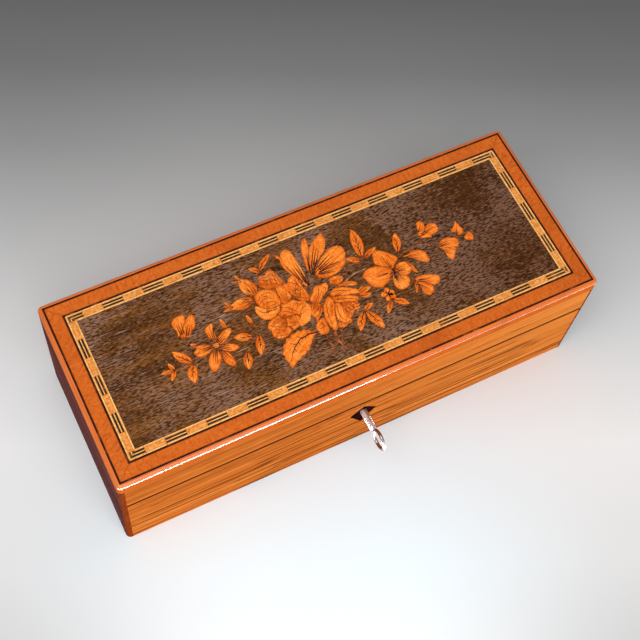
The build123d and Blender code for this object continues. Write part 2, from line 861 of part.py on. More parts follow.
# The drill pin is riveted in the plate, and the key's pipe turns on it
key_end = lock_back - lock_plate_thickness - 2 * lock_clearance
with BuildPart() as drill_pin:
    with BuildSketch(Plane.XZ.offset(-lock_back)):
        with Locations((0, key_z)):
            Circle(drill_pin_radius)
    extrude(amount=lock_plate_thickness + lock_room)
write_piece(drill_pin, "drill_pin")

# A ring ward stands on the case's front wall, open below where the bit comes through
ward_base = -(case_front + lock_case_wall)
with BuildPart() as lock_ward:
    with BuildSketch(Plane.XZ.offset(ward_base)):
        with Locations((0, key_z)):
            Circle(ward_radius + ward_thickness / 2)
            Circle(ward_radius - ward_thickness / 2, mode=Mode.SUBTRACT)
            Rectangle(
                2 * ward_radius * sin(radians(ward_gap_angle)),
                2 * ward_radius,
                align=(Align.CENTER, Align.MAX),
                mode=Mode.SUBTRACT,
            )
    extrude(amount=-ward_height)
write_piece(lock_ward, "lock_ward")

# Bolt. Two hooks shoot through the eyes of the staples, and a gullet in its tail lets the bit drive it.
bolt_top = base_top - lock_plate_thickness - bolt_top_gap
hook_low = base_top - staple_height + staple_wall + hook_clearance
spine_top = base_top - staple_height - staple_clearance
spine_low = spine_top - bolt_spine_height
tail_low = key_z + bit_reach - bit_into_tail
slot_half = staple_thickness / 2 + staple_clearance
bolt_left = -lock_case_length / 2 + lock_case_wall + spring_gap
bolt_right = lock_case_length / 2 - lock_case_wall - bolt_end_gap - bolt_travel
with BuildPart() as lock_bolt:
    with BuildSketch(Plane.XZ.offset(-staple_y - bolt_thickness / 2)) as bolt_outline:
        with Locations((bolt_left, spine_low)):
            Rectangle(bolt_right - bolt_left, bolt_top - spine_low, align=(Align.MIN, Align.MIN))
        with Locations((-bolt_travel / 2, tail_low)):
            Rectangle(bolt_tail_length, spine_top - tail_low, align=(Align.CENTER, Align.MIN))
        for x, _ in staple_places:
            with Locations((x - slot_half, spine_top)):
                Rectangle(
                    2 * slot_half,
                    bolt_top - spine_top,
                    align=(Align.MIN, Align.MIN),
                    mode=Mode.SUBTRACT,
                )
                Rectangle(
                    bolt_travel + slot_half,
                    hook_low - spine_top,
                    align=(Align.MAX, Align.MIN),
                    mode=Mode.SUBTRACT,
                )
        with Locations((-bolt_travel / 2, key_z)):
            Circle(bit_reach + gullet_clearance, mode=Mode.SUBTRACT)
    extrude(amount=bolt_thickness)
write_piece(lock_bolt, "lock_bolt")

# A bowed leaf spring in the left of the case holds the bolt up against the rim
with BuildPart() as lock_spring:
    spring_left = -lock_case_length / 2 + lock_case_wall
    with BuildSketch(Plane.XZ.offset(-staple_y - bolt_thickness / 2)):
        with BuildLine():
            ThreePointArc(
                (spring_left, spine_low - spring_drop),
                (spring_left + 0.43 * spring_length, spine_low - 0.29 * spring_drop),
                (spring_left + spring_length, spine_low - spring_gap),
            )
        trace(line_width=spring_gauge)
    extrude(amount=bolt_thickness)
    with Locations((spring_left, staple_y, 0)):
        Box(
            spring_gauge,
            2 * bolt_thickness,
            base_height,
            align=(Align.MAX, Align.CENTER, Align.MIN),
            mode=Mode.SUBTRACT,
        )
write_piece(lock_spring, "lock_spring")

# Link plate under the lid's front rail, with two staples that drop into the lock
with BuildPart() as link_plate:
    add(link_recess.part)
    for x, y in staple_places:
        with BuildSketch(Plane.YZ.offset(x - staple_thickness / 2)):
            with Locations((y, lid_bottom)):
                Rectangle(
                    staple_width,
                    lid_bottom - base_top + staple_height,
                    align=(Align.CENTER, Align.MAX),
                )
            with Locations((y, base_top - staple_height + staple_wall)):
                Rectangle(
                    staple_eye_width,
                    lid_bottom - base_top + staple_height - staple_wall,
                    align=(Align.CENTER, Align.MIN),
                    mode=Mode.SUBTRACT,
                )
        extrude(amount=staple_thickness)
    with Locations(*link_screw_planes):
        add(screw_hole.part, mode=Mode.SUBTRACT)
write_piece(link_plate, "link_plate")


# Key: a turned steel barrel drilled as a pipe, a ring bow, and a bit slotted for the ward
face_y = -half_width
bow_y = face_y - key_reach - bow_length / 2
neck_y = face_y - key_reach - bow_wire / 2
# Turned rings before the bow: distance out from the box, and radius there
key_turnings = [(7.0, 2.15), (7.9, 1.7), (9.0, 2.3), (10.0, 1.7), (11.0, 2.2)]
bit_back = key_end - bit_set_back
bit_front = case_front + lock_case_wall + bit_side_gap
ward_tip = case_front + lock_case_wall + ward_height

bow_angles = [2 * pi * (i + 0.5) / bow_sides for i in range(bow_sides)]


def bow_oval(inset):
    """The bow's outline, or the same drawn in by an inset."""
    half_y, half_z = bow_length / 2 - inset, bow_height / 2 - inset
    return [(bow_y + half_y * cos(a), key_z + half_z * sin(a)) for a in bow_angles]


with BuildPart() as bow:
    with BuildSketch(Plane.YZ):
        Polygon(*bow_oval(0), align=None)
        Polygon(*bow_oval(bow_wire), align=None, mode=Mode.SUBTRACT)
    extrude(amount=bow_wire / 2, both=True)
    chamfer(bow.edges().filter_by(Plane.YZ), bow_wire / (2 + 2**0.5))

with BuildPart() as key:
    with BuildSketch(Plane.YZ):
        with BuildLine():
            Polyline(
                (neck_y, key_z),
                (key_end, key_z),
                (key_end, key_z + key_barrel_radius),
                *[(face_y - out, key_z + radius) for out, radius in key_turnings],
                (neck_y, key_z + neck_radius),
                close=True,
            )
        make_face()
    revolve(axis=Axis((0, 0, key_z), (0, 1, 0)))
    add(bow.part)
    with BuildSketch(Plane.XZ.offset(-bit_back)):
        with Locations((0, key_z)):
            Rectangle(bit_thickness, bit_reach, align=(Align.CENTER, Align.MAX))
    extrude(amount=bit_back - bit_front)
    with BuildSketch(Plane.XZ.offset(-ward_tip - ward_clearance)):
        with Locations((0, key_z - ward_radius)):
            Rectangle(2 * bit_thickness, ward_thickness + 2 * ward_clearance)
    extrude(amount=ward_tip + ward_clearance - bit_front, mode=Mode.SUBTRACT)
    with BuildSketch(Plane.XZ.offset(-key_end)):
        with Locations((0, key_z)):
            Circle(key_pipe_radius)
    extrude(amount=key_pipe_depth, mode=Mode.SUBTRACT)
write_piece(key, "key")
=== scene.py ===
from math import atan2, cos, hypot, pi, radians, sin
from random import Random

import bmesh
import bpy
from mathutils import Matrix, Vector


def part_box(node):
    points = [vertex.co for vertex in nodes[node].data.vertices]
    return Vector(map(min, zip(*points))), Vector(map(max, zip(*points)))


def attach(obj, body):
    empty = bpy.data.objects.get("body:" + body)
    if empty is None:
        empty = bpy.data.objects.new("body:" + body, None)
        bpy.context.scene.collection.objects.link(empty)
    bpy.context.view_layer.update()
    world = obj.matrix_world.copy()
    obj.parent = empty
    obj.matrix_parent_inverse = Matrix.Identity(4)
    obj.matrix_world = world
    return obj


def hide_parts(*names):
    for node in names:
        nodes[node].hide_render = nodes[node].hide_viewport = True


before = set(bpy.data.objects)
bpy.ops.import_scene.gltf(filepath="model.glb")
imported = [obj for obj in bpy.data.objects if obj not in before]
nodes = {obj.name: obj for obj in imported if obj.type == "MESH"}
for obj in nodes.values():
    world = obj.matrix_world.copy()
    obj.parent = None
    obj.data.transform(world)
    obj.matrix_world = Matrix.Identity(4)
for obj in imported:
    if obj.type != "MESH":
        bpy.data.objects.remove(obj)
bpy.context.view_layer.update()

mm = 0.001

# The viewpoint of the photograph: from the front left, high above the lid, with a long lens
lens_place = Vector((-187.01, -264.22, 700.68)) * mm
lens_right = Vector((0.89240, -0.44475, 0.07625)).normalized()
lens_up = Vector((0.36978, 0.81764, 0.44129)).normalized()
lens_back = lens_right.cross(lens_up)
focal_length = 68.68
film_width = 36.0

camera_data = bpy.data.cameras.new("photograph_camera")
camera_data.lens = focal_length
camera_data.sensor_width = film_width
camera_data.clip_end = 20
camera = bpy.data.objects.new("photograph_camera", camera_data)
axes = Matrix((lens_right, lens_up, lens_back)).transposed()
camera.matrix_world = Matrix.Translation(lens_place) @ axes.to_4x4()
bpy.context.scene.collection.objects.link(camera)
bpy.context.scene.camera = camera
bpy.context.scene.view_settings.view_transform = "Standard"


# The table top and backdrop are one matt sheet, near white towards the viewer and grey far behind, in
# painted light falloff.
# Its colour changes with the place on the sheet, so that the box still throws its own soft shadow on it.
def paint(code):
    """Turns a written sRGB colour such as "#C87137" into linear red, green, blue and alpha."""
    channels = [int(code[i:i + 2], 16) / 255 for i in (1, 3, 5)]
    linear = [c / 12.92 if c <= 0.04045 else ((c + 0.055) / 1.055) ** 2.4 for c in channels]
    return (*linear, 1.0)


def add_node(tree, kind, inputs=None, result=None, stops=None, **settings):
    """Adds a node, sets it, feeds its inputs and gives back the output to use next."""
    made = tree.nodes.new(kind)
    for name, value in settings.items():
        setattr(made, name, value)
    if stops:
        ramp = made.color_ramp
        while len(ramp.elements) < len(stops):
            ramp.elements.new(0.5)
        for element, (position, colour) in zip(ramp.elements, stops):
            element.position = position
            element.color = paint(colour)
    for name, value in (inputs or {}).items():
        if isinstance(name, int):
            socket = made.inputs[name]
        else:
            socket = next(s for s in made.inputs if s.name == name and s.enabled)
        if isinstance(value, bpy.types.NodeSocket):
            tree.links.new(value, socket)
        elif isinstance(value, str):
            socket.default_value = paint(value)
        else:
            socket.default_value = value
    if result:
        return made.outputs[result]
    return next((s for s in made.outputs if s.enabled), made)


def new_finish(name, surface):
    """Starts a material whose shader sockets have the given constant values."""
    material = bpy.data.materials.new(name)
    material.use_nodes = True
    tree = material.node_tree
    shader = tree.nodes["Principled BSDF"]
    for socket, value in surface.items():
        shader.inputs[socket].default_value = value
    return material, tree, shader


def mesh_piece(name, points, faces, material=None, smooth=False):
    """Makes a mesh object in the frame's own coordinates from points in millimetres."""
    data = bpy.data.meshes.new(name)
    data.from_pydata([tuple(c * mm for c in p) for p in points], [], faces)
    data.validate()
    data.update()
    if material:
        data.materials.append(material)
    data.polygons.foreach_set("use_smooth", [smooth] * len(data.polygons))
    piece = bpy.data.objects.new(name, data)
    bpy.context.scene.collection.objects.link(piece)
    return piece


backdrop, tree, shader = new_finish("matt_backdrop_sheet", {"Roughness": 0.9, "Specular IOR Level": 0.1})
sheet_place = add_node(tree, "ShaderNodeTexCoord", result="Object")
away = Vector((0.412, 0.911, 0))
sideways = Vector((0.911, -0.412, 0))
depth = add_node(tree, "ShaderNodeVectorMath", {0: sheet_place, 1: away}, "Value", operation="DOT_PRODUCT")
side = add_node(
    tree, "ShaderNodeVectorMath", {0: sheet_place, 1: sideways}, "Value", operation="DOT_PRODUCT")
near_edge = -0.180
far_edge = 0.290
depth_share = add_node(tree, "ShaderNodeMapRange", {
    "Value": depth, "From Min": near_edge, "From Max": far_edge})
# Painted light falloff: the sheet darkens far behind and towards the sides, and a cool tint before the box
# offsets its orange bounce light.
middle_colour = add_node(tree, "ShaderNodeValToRGB", {"Fac": depth_share}, "Color", stops=[
    (0.0, "#F2F8FB"), (0.10, "#EAF8FE"), (0.26, "#DDEBF2"), (0.38, "#D9DDE0"), (0.55, "#C5C5C5"),
    (0.72, "#A3A3A3"), (0.86, "#808080"), (1.0, "#6A6A6A")])
side_colour = add_node(tree, "ShaderNodeValToRGB", {"Fac": depth_share}, "Color", stops=[
    (0.0, "#CECECE"), (0.10, "#DDDDDD"), (0.26, "#E8E8E8"), (0.38, "#DCDCDC"), (0.55, "#C1C1C1"),
    (0.72, "#979797"), (0.86, "#797979"), (1.0, "#696969")])
side_distance = add_node(tree, "ShaderNodeMath", {0: side}, operation="ABSOLUTE")
side_share = add_node(tree, "ShaderNodeMapRange", {
    "Value": side_distance, "From Min": 0.03, "From Max": 0.20}, interpolation_type="SMOOTHSTEP")
sheet_colour = add_node(tree, "ShaderNodeMix", {
    "Factor": side_share, "A": middle_colour, "B": side_colour}, data_type="RGBA")
tree.links.new(sheet_colour, shader.inputs["Base Color"])

sheet_half = 3000.0
table_sheet = mesh_piece(
    "table_sheet",
    [(-sheet_half, -sheet_half, 0), (sheet_half, -sheet_half, 0),
     (sheet_half, sheet_half, 0), (-sheet_half, sheet_half, 0)],
    [(0, 1, 2, 3)],
    backdrop,
)


# The studio light: a broad soft light overhead to the left, a weak one in front and an even grey room.
# Gloss cards that only reflections see lie on the table before the box and stand behind the front light:
# they draw the gloss line along the front edge of the lid, white as far as the key and faint beyond it.
def soft_light(name, place, aim, width, height, watts, gloss_only=False):
    """An area light that faces the point aimed at."""
    data = bpy.data.lights.new(name, "AREA")
    data.shape = "RECTANGLE"
    data.size = width
    data.size_y = height
    data.energy = watts
    lamp = bpy.data.objects.new(name, data)
    lamp.location = place
    lamp.rotation_euler = (Vector(aim) - Vector(place)).to_track_quat("-Z", "Y").to_euler()
    lamp.visible_diffuse = not gloss_only
    lamp.visible_camera = not gloss_only
    bpy.context.scene.collection.objects.link(lamp)


soft_light("overhead_soft", (-0.45, -0.45, 1.30), (0.0, 0.0, 0.05), 1.2, 0.9, 14.6)
soft_light("front_soft", (0.10, -1.20, 0.60), (0.0, 0.0, 0.05), 0.9, 0.8, 4.4)
soft_light("gloss_card", (-0.13, -0.198, 0.001), (-0.13, -0.198, 1.0), 0.36, 0.17, 13.0, gloss_only=True)
soft_light("faint_gloss_card", (0.18, -0.198, 0.001), (0.18, -0.198, 1.0), 0.26, 0.17, 0.9, gloss_only=True)
soft_light("standing_gloss_card", (0.09, -1.15, 0.46), (0.09, 0.0, 0.05), 0.34, 0.90, 0.8, gloss_only=True)

room = bpy.data.worlds.new("grey_room")
room.use_nodes = True
room_strength = 0.40
room.node_tree.nodes["Background"].inputs["Color"].default_value = paint("#FFFFFF")
room.node_tree.nodes["Background"].inputs["Strength"].default_value = room_strength
bpy.context.scene.world = room


# Carcass: the front, back, bottom and top boards of the box and its lid.
# Plain quarter-sawn pine, planed and left bare, glued and rebated at the corners; it shows only inside.
def give_finish(material, *names):
    """Puts a finish on CAD pieces that keep their own mesh."""
    for name in names:
        for place in nodes[name].material_slots:
            place.material = material


def grain_streaks(tree, place, length, spacing, seed, detail=2.0, waver=0.0):
    """Noise drawn out along the X of place: streaks of this length and spacing in millimetres."""
    stretch = (1000 / length, 1000 / spacing, 1000 / spacing)
    drawn_out = add_node(tree, "ShaderNodeVectorMath", {0: place, 1: stretch}, operation="MULTIPLY")
    return add_node(tree, "ShaderNodeTexNoise", {
        "Vector": drawn_out, "W": seed, "Scale": 1.0, "Detail": detail, "Distortion": waver,
    }, noise_dimensions="4D")


def clouds(tree, place, size, seed, detail=2.0):
    """Noise with soft spots of this size in millimetres."""
    return grain_streaks(tree, place, size, size, seed, detail)


def wavering(tree, place, size, sway, seed):
    """Lets straight grain wander sideways by up to about sway millimetres over each size millimetres."""
    drift = add_node(tree, "ShaderNodeMath", {
        0: clouds(tree, place, size, seed), 1: 0.5}, operation="SUBTRACT")
    push = add_node(tree, "ShaderNodeVectorMath", {
        0: (0, 2 * sway * mm, 2 * sway * mm), "Scale": drift}, operation="SCALE")
    return add_node(tree, "ShaderNodeVectorMath", {0: place, 1: push}, operation="ADD")


def stain(tree, colour, pattern, low, high, most, over):
    """Lays a colour over another where a pattern passes from low to high, hiding it by up to most."""
    share = add_node(tree, "ShaderNodeMapRange", {
        "Value": pattern, "From Min": low, "From Max": high, "To Max": most})
    return add_node(tree, "ShaderNodeMix", {"Factor": share, "A": colour, "B": over}, data_type="RGBA")


def distance(tree, value, other):
    """How far one value is from another, whichever is the greater."""
    difference = add_node(tree, "ShaderNodeMath", {0: value, 1: other}, operation="SUBTRACT")
    return add_node(tree, "ShaderNodeMath", {0: difference}, operation="ABSOLUTE")


def finish_off(tree, shader, colour, height=None, depth=0.0):
    """Links the colour to the shader, and a relief whose full depth is given in millimetres."""
    tree.links.new(colour, shader.inputs["Base Color"])
    if height:
        bump = add_node(tree, "ShaderNodeBump", {"Height": height, "Distance": depth * mm})
        tree.links.new(bump, shader.inputs["Normal"])


bare_pine, tree, shader = new_finish("bare_planed_pine", {"Roughness": 0.62, "Specular IOR Level": 0.25})
place = add_node(tree, "ShaderNodeTexCoord", result="Object")
rings = grain_streaks(tree, wavering(tree, place, 60, 3, 4.0), 260, 3.2, 1.0)
colour = add_node(tree, "ShaderNodeValToRGB", {"Fac": rings}, "Color", stops=[
    (0.30, "#7D4A22"), (0.46, "#A9713C"), (0.60, "#C08A50"), (0.74, "#8E5A2C")])
fibres = grain_streaks(tree, place, 22, 0.5, 2.0)
colour = stain(tree, colour, fibres, 0.45, 0.75, 0.35, "#6B3C1B")
finish_off(tree, shader, colour, fibres, 0.08)
give_finish(bare_pine, "base_front_board", "base_back_board", "bottom_board",
            "lid_front_rail", "lid_back_rail", "lid_top_board")


# Ends of the box: four solid boards of dark walnut, lapped over the front and back.
# Stained and polished nearly to plum, with open pores along the grain; their ends show as red-brown strips.
dark_walnut, tree, shader = new_finish("stained_polished_walnut", {
    "Roughness": 0.34, "Specular IOR Level": 0.0, "Coat Weight": 0.01})
place = add_node(tree, "ShaderNodeTexCoord", result="Object")
turned = add_node(tree, "ShaderNodeMapping", {"Vector": place, "Rotation": (0, 0, radians(90))})
bands = grain_streaks(tree, wavering(tree, turned, 40, 2, 8.0), 90, 3.5, 3.0, detail=3.0)
colour = add_node(tree, "ShaderNodeValToRGB", {"Fac": bands}, "Color", stops=[
    (0.28, "#42211F"), (0.44, "#623634"), (0.58, "#7A4844"), (0.76, "#8E5A52")])
pores = grain_streaks(tree, turned, 7, 0.4, 5.0, detail=1.0)
colour = stain(tree, colour, pores, 0.56, 0.68, 0.75, "#1E0C0C")
# Painted sheen: pale streaks along the pores stand for glints of the polish.
painted_pore_sheen = grain_streaks(tree, turned, 5, 0.45, 6.0, detail=1.0)
colour = stain(tree, colour, painted_pore_sheen, 0.62, 0.72, 0.5, "#96706C")
geometry = tree.nodes.new("ShaderNodeNewGeometry")
facing = tree.nodes.new("ShaderNodeSeparateXYZ")
tree.links.new(geometry.outputs["True Normal"], facing.inputs[0])
across_front = add_node(tree, "ShaderNodeMath", {0: facing.outputs[1]}, operation="ABSOLUTE")
end_grain = clouds(tree, place, 1.6, 7.0, detail=3.0)
end_colour = add_node(tree, "ShaderNodeValToRGB", {"Fac": end_grain}, "Color", stops=[
    (0.30, "#742E14"), (0.52, "#964016"), (0.74, "#AC501C")])
colour = stain(tree, colour, across_front, 0.5, 0.6, 1.0, end_colour)
finish_off(tree, shader, colour, pores, -0.05)
give_finish(dark_walnut, "base_left_board", "base_right_board", "lid_left_rail", "lid_right_rail")


# Front and back faces: saw-cut walnut veneer glued over the pine, its straight grain running along the box.
# One leaf was cut at the lid seam, so the figure runs on across it, and painted shade from the gap darkens
# both edges of the cut.
seam_level = 56.0
walnut, tree, shader = new_finish("french_polished_walnut_veneer", {
    "Roughness": 0.38, "Specular IOR Level": 0.0, "Coat Weight": 0.02, "Coat Roughness": 0.06})
place = add_node(tree, "ShaderNodeTexCoord", result="Object")
swaying = wavering(tree, place, 75, 4.5, 11.0)
broad = grain_streaks(tree, swaying, 260, 6.0, 12.0, detail=3.0, waver=0.4)
colour = add_node(tree, "ShaderNodeValToRGB", {"Fac": broad}, "Color", stops=[
    (0.28, "#AE5822"), (0.42, "#CC6C26"), (0.54, "#DE7A2E"), (0.68, "#EE8C3E"), (0.82, "#FAA45C")])
fine = grain_streaks(tree, swaying, 48, 1.7, 13.0, detail=2.0)
colour = stain(tree, colour, fine, 0.46, 0.72, 0.45, "#A0501E")
flash = grain_streaks(tree, swaying, 30, 2.2, 15.0)
colour = stain(tree, colour, flash, 0.55, 0.76, 0.6, "#FA9A3C")
levels = tree.nodes.new("ShaderNodeSeparateXYZ")
tree.links.new(place, levels.inputs[0])
low_down = add_node(tree, "ShaderNodeMapRange", {
    "Value": levels.outputs[2], "From Min": 60 * mm, "From Max": 20 * mm, "To Min": -0.05, "To Max": 0.10})
colour = stain(tree, colour, levels.outputs[0], -40 * mm, 140 * mm, 0.30, "#FFA24C")
late_wood = grain_streaks(tree, swaying, 170, 2.4, 14.0, detail=2.0)
late_wood = add_node(tree, "ShaderNodeMath", {0: late_wood, 1: low_down}, operation="ADD")
colour = stain(tree, colour, late_wood, 0.60, 0.69, 0.7, "#5E2606")
knots = grain_streaks(tree, place, 34, 11, 16.0)
colour = stain(tree, colour, knots, 0.66, 0.76, 0.55, "#5A2408")
# Painted shade: a dark band on both edges of the lid seam, as if shadowed in the gap.
off_seam = distance(tree, levels.outputs[2], seam_level * mm)
colour = stain(tree, colour, off_seam, 1.50 * mm, 0.95 * mm, 0.9, "#220C04")
finish_off(tree, shader, colour, fine, -0.03)
give_finish(walnut, "base_front_veneer", "base_back_veneer", "lid_front_veneer", "lid_back_veneer")


# Crossbanding: an 8 mm border of satinwood sawn across its grain and mitred at the corners.
# The grain runs out towards the edge of the lid, crossed by a fine ripple that shimmers under the polish.
# Dark glue shows as a thin line along both of its edges.
def along_the_band(tree, place, outer_half_length, outer_half_width):
    """Gives a place whose X runs along the border strip and Y across it, and how far the mitre is."""
    parts = tree.nodes.new("ShaderNodeSeparateXYZ")
    tree.links.new(place, parts.inputs[0])
    x, y, z = parts.outputs
    across_end = add_node(tree, "ShaderNodeMath", {0: x}, operation="ABSOLUTE")
    across_long = add_node(tree, "ShaderNodeMath", {0: y}, operation="ABSOLUTE")
    corner = (outer_half_length - outer_half_width) * mm
    from_corner = add_node(tree, "ShaderNodeMath", {0: across_end, 1: corner}, operation="SUBTRACT")
    mitre = add_node(tree, "ShaderNodeMath", {0: from_corner, 1: across_long}, operation="SUBTRACT")
    on_end = add_node(tree, "ShaderNodeMath", {0: mitre, 1: 0.0}, operation="GREATER_THAN")
    turned = add_node(tree, "ShaderNodeCombineXYZ", {0: y, 1: x, 2: z})
    strip = add_node(tree, "ShaderNodeMix", {"Factor": on_end, "A": place, "B": turned}, data_type="VECTOR")
    gap = add_node(tree, "ShaderNodeMath", {0: mitre}, operation="ABSOLUTE")
    return strip, gap, on_end


lid_half_length = 150.0
lid_half_width = 58.5
crossband_inner = 11.3
crossband_width = 8.0
satinwood, tree, shader = new_finish("french_polished_satinwood_crossband", {
    "Roughness": 0.30, "Specular IOR Level": 0.12})
place = add_node(tree, "ShaderNodeTexCoord", result="Object")
strip, mitre_gap, on_end = along_the_band(tree, place, lid_half_length, lid_half_width)
grain_place = add_node(tree, "ShaderNodeMapping", {"Vector": strip, "Rotation": (0, 0, radians(-90))})
grain = grain_streaks(tree, grain_place, 5, 1.6, 21.0, detail=4.0)
colour = add_node(tree, "ShaderNodeValToRGB", {"Fac": grain}, "Color", stops=[
    (0.26, "#BC5216"), (0.44, "#CC601A"), (0.60, "#D46820"), (0.80, "#DC7630")])
specks = clouds(tree, strip, 1.6, 24.0, detail=3.0)
colour = stain(tree, colour, specks, 0.54, 0.70, 0.55, "#A23E0C")
colour = stain(tree, colour, specks, 0.46, 0.30, 0.35, "#E58C4E")
ripple_place = add_node(tree, "ShaderNodeMapping", {"Vector": strip, "Rotation": (0, 0, radians(-50))})
ripple = grain_streaks(tree, ripple_place, 7, 1.5, 22.0, detail=1.0)
ripple_most = add_node(tree, "ShaderNodeMapRange", {"Value": on_end, "To Min": 0.12, "To Max": 0.5})
ripple_share = add_node(tree, "ShaderNodeMapRange", {
    "Value": ripple, "From Min": 0.52, "From Max": 0.72, "To Max": ripple_most})
colour = add_node(tree, "ShaderNodeMix", {
    "Factor": ripple_share, "A": colour, "B": "#A43E0C"}, data_type="RGBA")
shades = clouds(tree, place, 26, 23.0)
colour = stain(tree, colour, shades, 0.50, 0.75, 0.45, "#A8480F")
colour = stain(tree, colour, mitre_gap, 0.30 * mm, 0.12 * mm, 0.45, "#6A2C0E")
inner_edge = add_node(tree, "ShaderNodeMapRange", {
    "Value": on_end,
    "To Min": (lid_half_width - crossband_inner) * mm,
    "To Max": (lid_half_length - crossband_inner) * mm,
})
band_parts = tree.nodes.new("ShaderNodeSeparateXYZ")
tree.links.new(strip, band_parts.inputs[0])
out = add_node(tree, "ShaderNodeMath", {0: band_parts.outputs[1]}, operation="ABSOLUTE")
off_inner_edge = add_node(tree, "ShaderNodeMath", {0: out, 1: inner_edge}, operation="SUBTRACT")
colour = stain(tree, colour, off_inner_edge, 0.55 * mm, 0.30 * mm, 0.85, "#2A1006")
glue_from = crossband_width - 0.45
glue_to = crossband_width - 0.25
colour = stain(tree, colour, off_inner_edge, glue_from * mm, glue_to * mm, 0.8, "#3A1608")
finish_off(tree, shader, colour, ripple, 0.03)
give_finish(satinwood, "crossbanding")


# Stringings: two square lines of ebonised pear glued either side of the crossbanding.
# Dyed black through, rubbed brown here and there where the polish has worn.
ebonised, tree, shader = new_finish("ebonised_pear_stringing", {
    "Roughness": 0.36, "Specular IOR Level": 0.12})
place = add_node(tree, "ShaderNodeTexCoord", result="Object")
worn = clouds(tree, place, 5, 31.0)
colour = add_node(tree, "ShaderNodeValToRGB", {"Fac": worn}, "Color", stops=[
    (0.42, "#1E0B04"), (0.56, "#34140A"), (0.66, "#6E3314"), (0.76, "#A8602C")])
finish_off(tree, shader, colour, worn, 0.02)
give_finish(ebonised, "outer_stringing", "inner_stringing", "banding_dashes")


# Banding: a bought-in strip glued up from boxwood and satinwood, with dark dashes between light lines.
# Plain mottled blocks take turns with dashed ones along the strip, and its outer edges are pale lines.
dash_pitch = 23.9
dash_length = 12.0
long_dash_offset = 9.2
banding_centre = 14.7
light_line_from = 1.55
dash_from_middle = 0.85
dash_glue_reach = 0.60
boxwood, tree, shader = new_finish("boxwood_and_satinwood_banding", {
    "Roughness": 0.32, "Specular IOR Level": 0.12})
place = add_node(tree, "ShaderNodeTexCoord", result="Object")
strip, mitre_gap, on_end = along_the_band(tree, place, lid_half_length, lid_half_width)
run_parts = tree.nodes.new("ShaderNodeSeparateXYZ")
tree.links.new(strip, run_parts.inputs[0])
run, across = run_parts.outputs[0], run_parts.outputs[1]
dash_start = add_node(tree, "ShaderNodeMapRange", {
    "Value": on_end, "To Min": long_dash_offset * mm, "To Max": 0.0})
from_dash = add_node(tree, "ShaderNodeMath", {0: run, 1: dash_start}, operation="SUBTRACT")
in_pitch = add_node(tree, "ShaderNodeMath", {
    0: from_dash, 1: -dash_pitch / 2 * mm, 2: dash_pitch / 2 * mm}, operation="WRAP")
off_dash = add_node(tree, "ShaderNodeMath", {0: in_pitch}, operation="ABSOLUTE")
dashed = add_node(tree, "ShaderNodeMath", {0: off_dash, 1: dash_length / 2 * mm}, operation="LESS_THAN")
band_middle = add_node(tree, "ShaderNodeMapRange", {
    "Value": on_end,
    "To Min": (lid_half_width - banding_centre) * mm,
    "To Max": (lid_half_length - banding_centre) * mm,
})
out = add_node(tree, "ShaderNodeMath", {0: across}, operation="ABSOLUTE")
from_middle = distance(tree, out, band_middle)
specks = clouds(tree, place, 1.3, 41.0)
plain_colour = add_node(tree, "ShaderNodeValToRGB", {"Fac": specks}, "Color", stops=[
    (0.32, "#C8702C"), (0.48, "#E48E40"), (0.62, "#F2A452"), (0.78, "#FFBE78")])
block_tone = clouds(tree, place, 12, 42.0)
plain_colour = stain(tree, plain_colour, block_tone, 0.50, 0.68, 0.45, "#D47A34")
line_colour = add_node(tree, "ShaderNodeValToRGB", {"Fac": specks}, "Color", stops=[
    (0.30, "#E69A4A"), (0.50, "#FCB868"), (0.75, "#FFD08E")])
line_colour = stain(tree, line_colour, block_tone, 0.50, 0.70, 0.45, "#C47638")
colour = add_node(tree, "ShaderNodeMix", {
    "Factor": dashed, "A": plain_colour, "B": line_colour}, data_type="RGBA")
off_edge_line = add_node(tree, "ShaderNodeMath", {
    0: from_middle, 1: light_line_from * mm}, operation="SUBTRACT")
edge_line = add_node(tree, "ShaderNodeMath", {0: off_edge_line, 1: 0.0}, operation="GREATER_THAN")
colour = add_node(tree, "ShaderNodeMix", {
    "Factor": edge_line, "A": colour, "B": line_colour}, data_type="RGBA")
seam_distance = add_node(tree, "ShaderNodeMath", {0: off_edge_line}, operation="ABSOLUTE")
block_seam = distance(tree, off_dash, dash_length / 2 * mm)
nearest_seam = add_node(tree, "ShaderNodeMath", {0: seam_distance, 1: block_seam}, operation="MINIMUM")
nearest_seam = add_node(tree, "ShaderNodeMath", {0: nearest_seam, 1: mitre_gap}, operation="MINIMUM")
colour = stain(tree, colour, nearest_seam, 0.24 * mm, 0.06 * mm, 0.6, "#8A4212")
beside_dash = distance(tree, from_middle, dash_from_middle * mm)
dark_glue = add_node(tree, "ShaderNodeMath", {
    0: beside_dash, 1: dash_glue_reach * mm}, operation="LESS_THAN")
dark_glue = add_node(tree, "ShaderNodeMath", {0: dark_glue, 1: dashed}, operation="MULTIPLY")
colour = stain(tree, colour, dark_glue, 0.0, 1.0, 0.85, "#2A1206")
finish_off(tree, shader, colour, specks, 0.02)
give_finish(boxwood, "banding")


# Lipping: four strips of satinwood glued round the edge of the lid, mitred at the corners.
# The top edge is rounded over by hand and carries the heaviest polish, so it takes the sharpest gloss line.
lipping_width = 2.4
lipping_height = 8.5
lipping_round = 2.2
corner_round = 3.0
lid_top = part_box("lid_edge_lipping")[1].z / mm
round_cuts = 12
corner_cuts = 10
lower_bevel = 0.25
strip_grain_shift = 320
crease_angle = radians(40)

profile = [
    (lipping_width, -lipping_height), (lower_bevel, -lipping_height), (0.0, -lipping_height + lower_bevel)]
for i in range(round_cuts + 1):
    turn = pi / 2 * i / round_cuts
    profile.append((lipping_round * (1 - cos(turn)), -lipping_round * (1 - sin(turn))))
profile.append((lipping_width, 0.0))


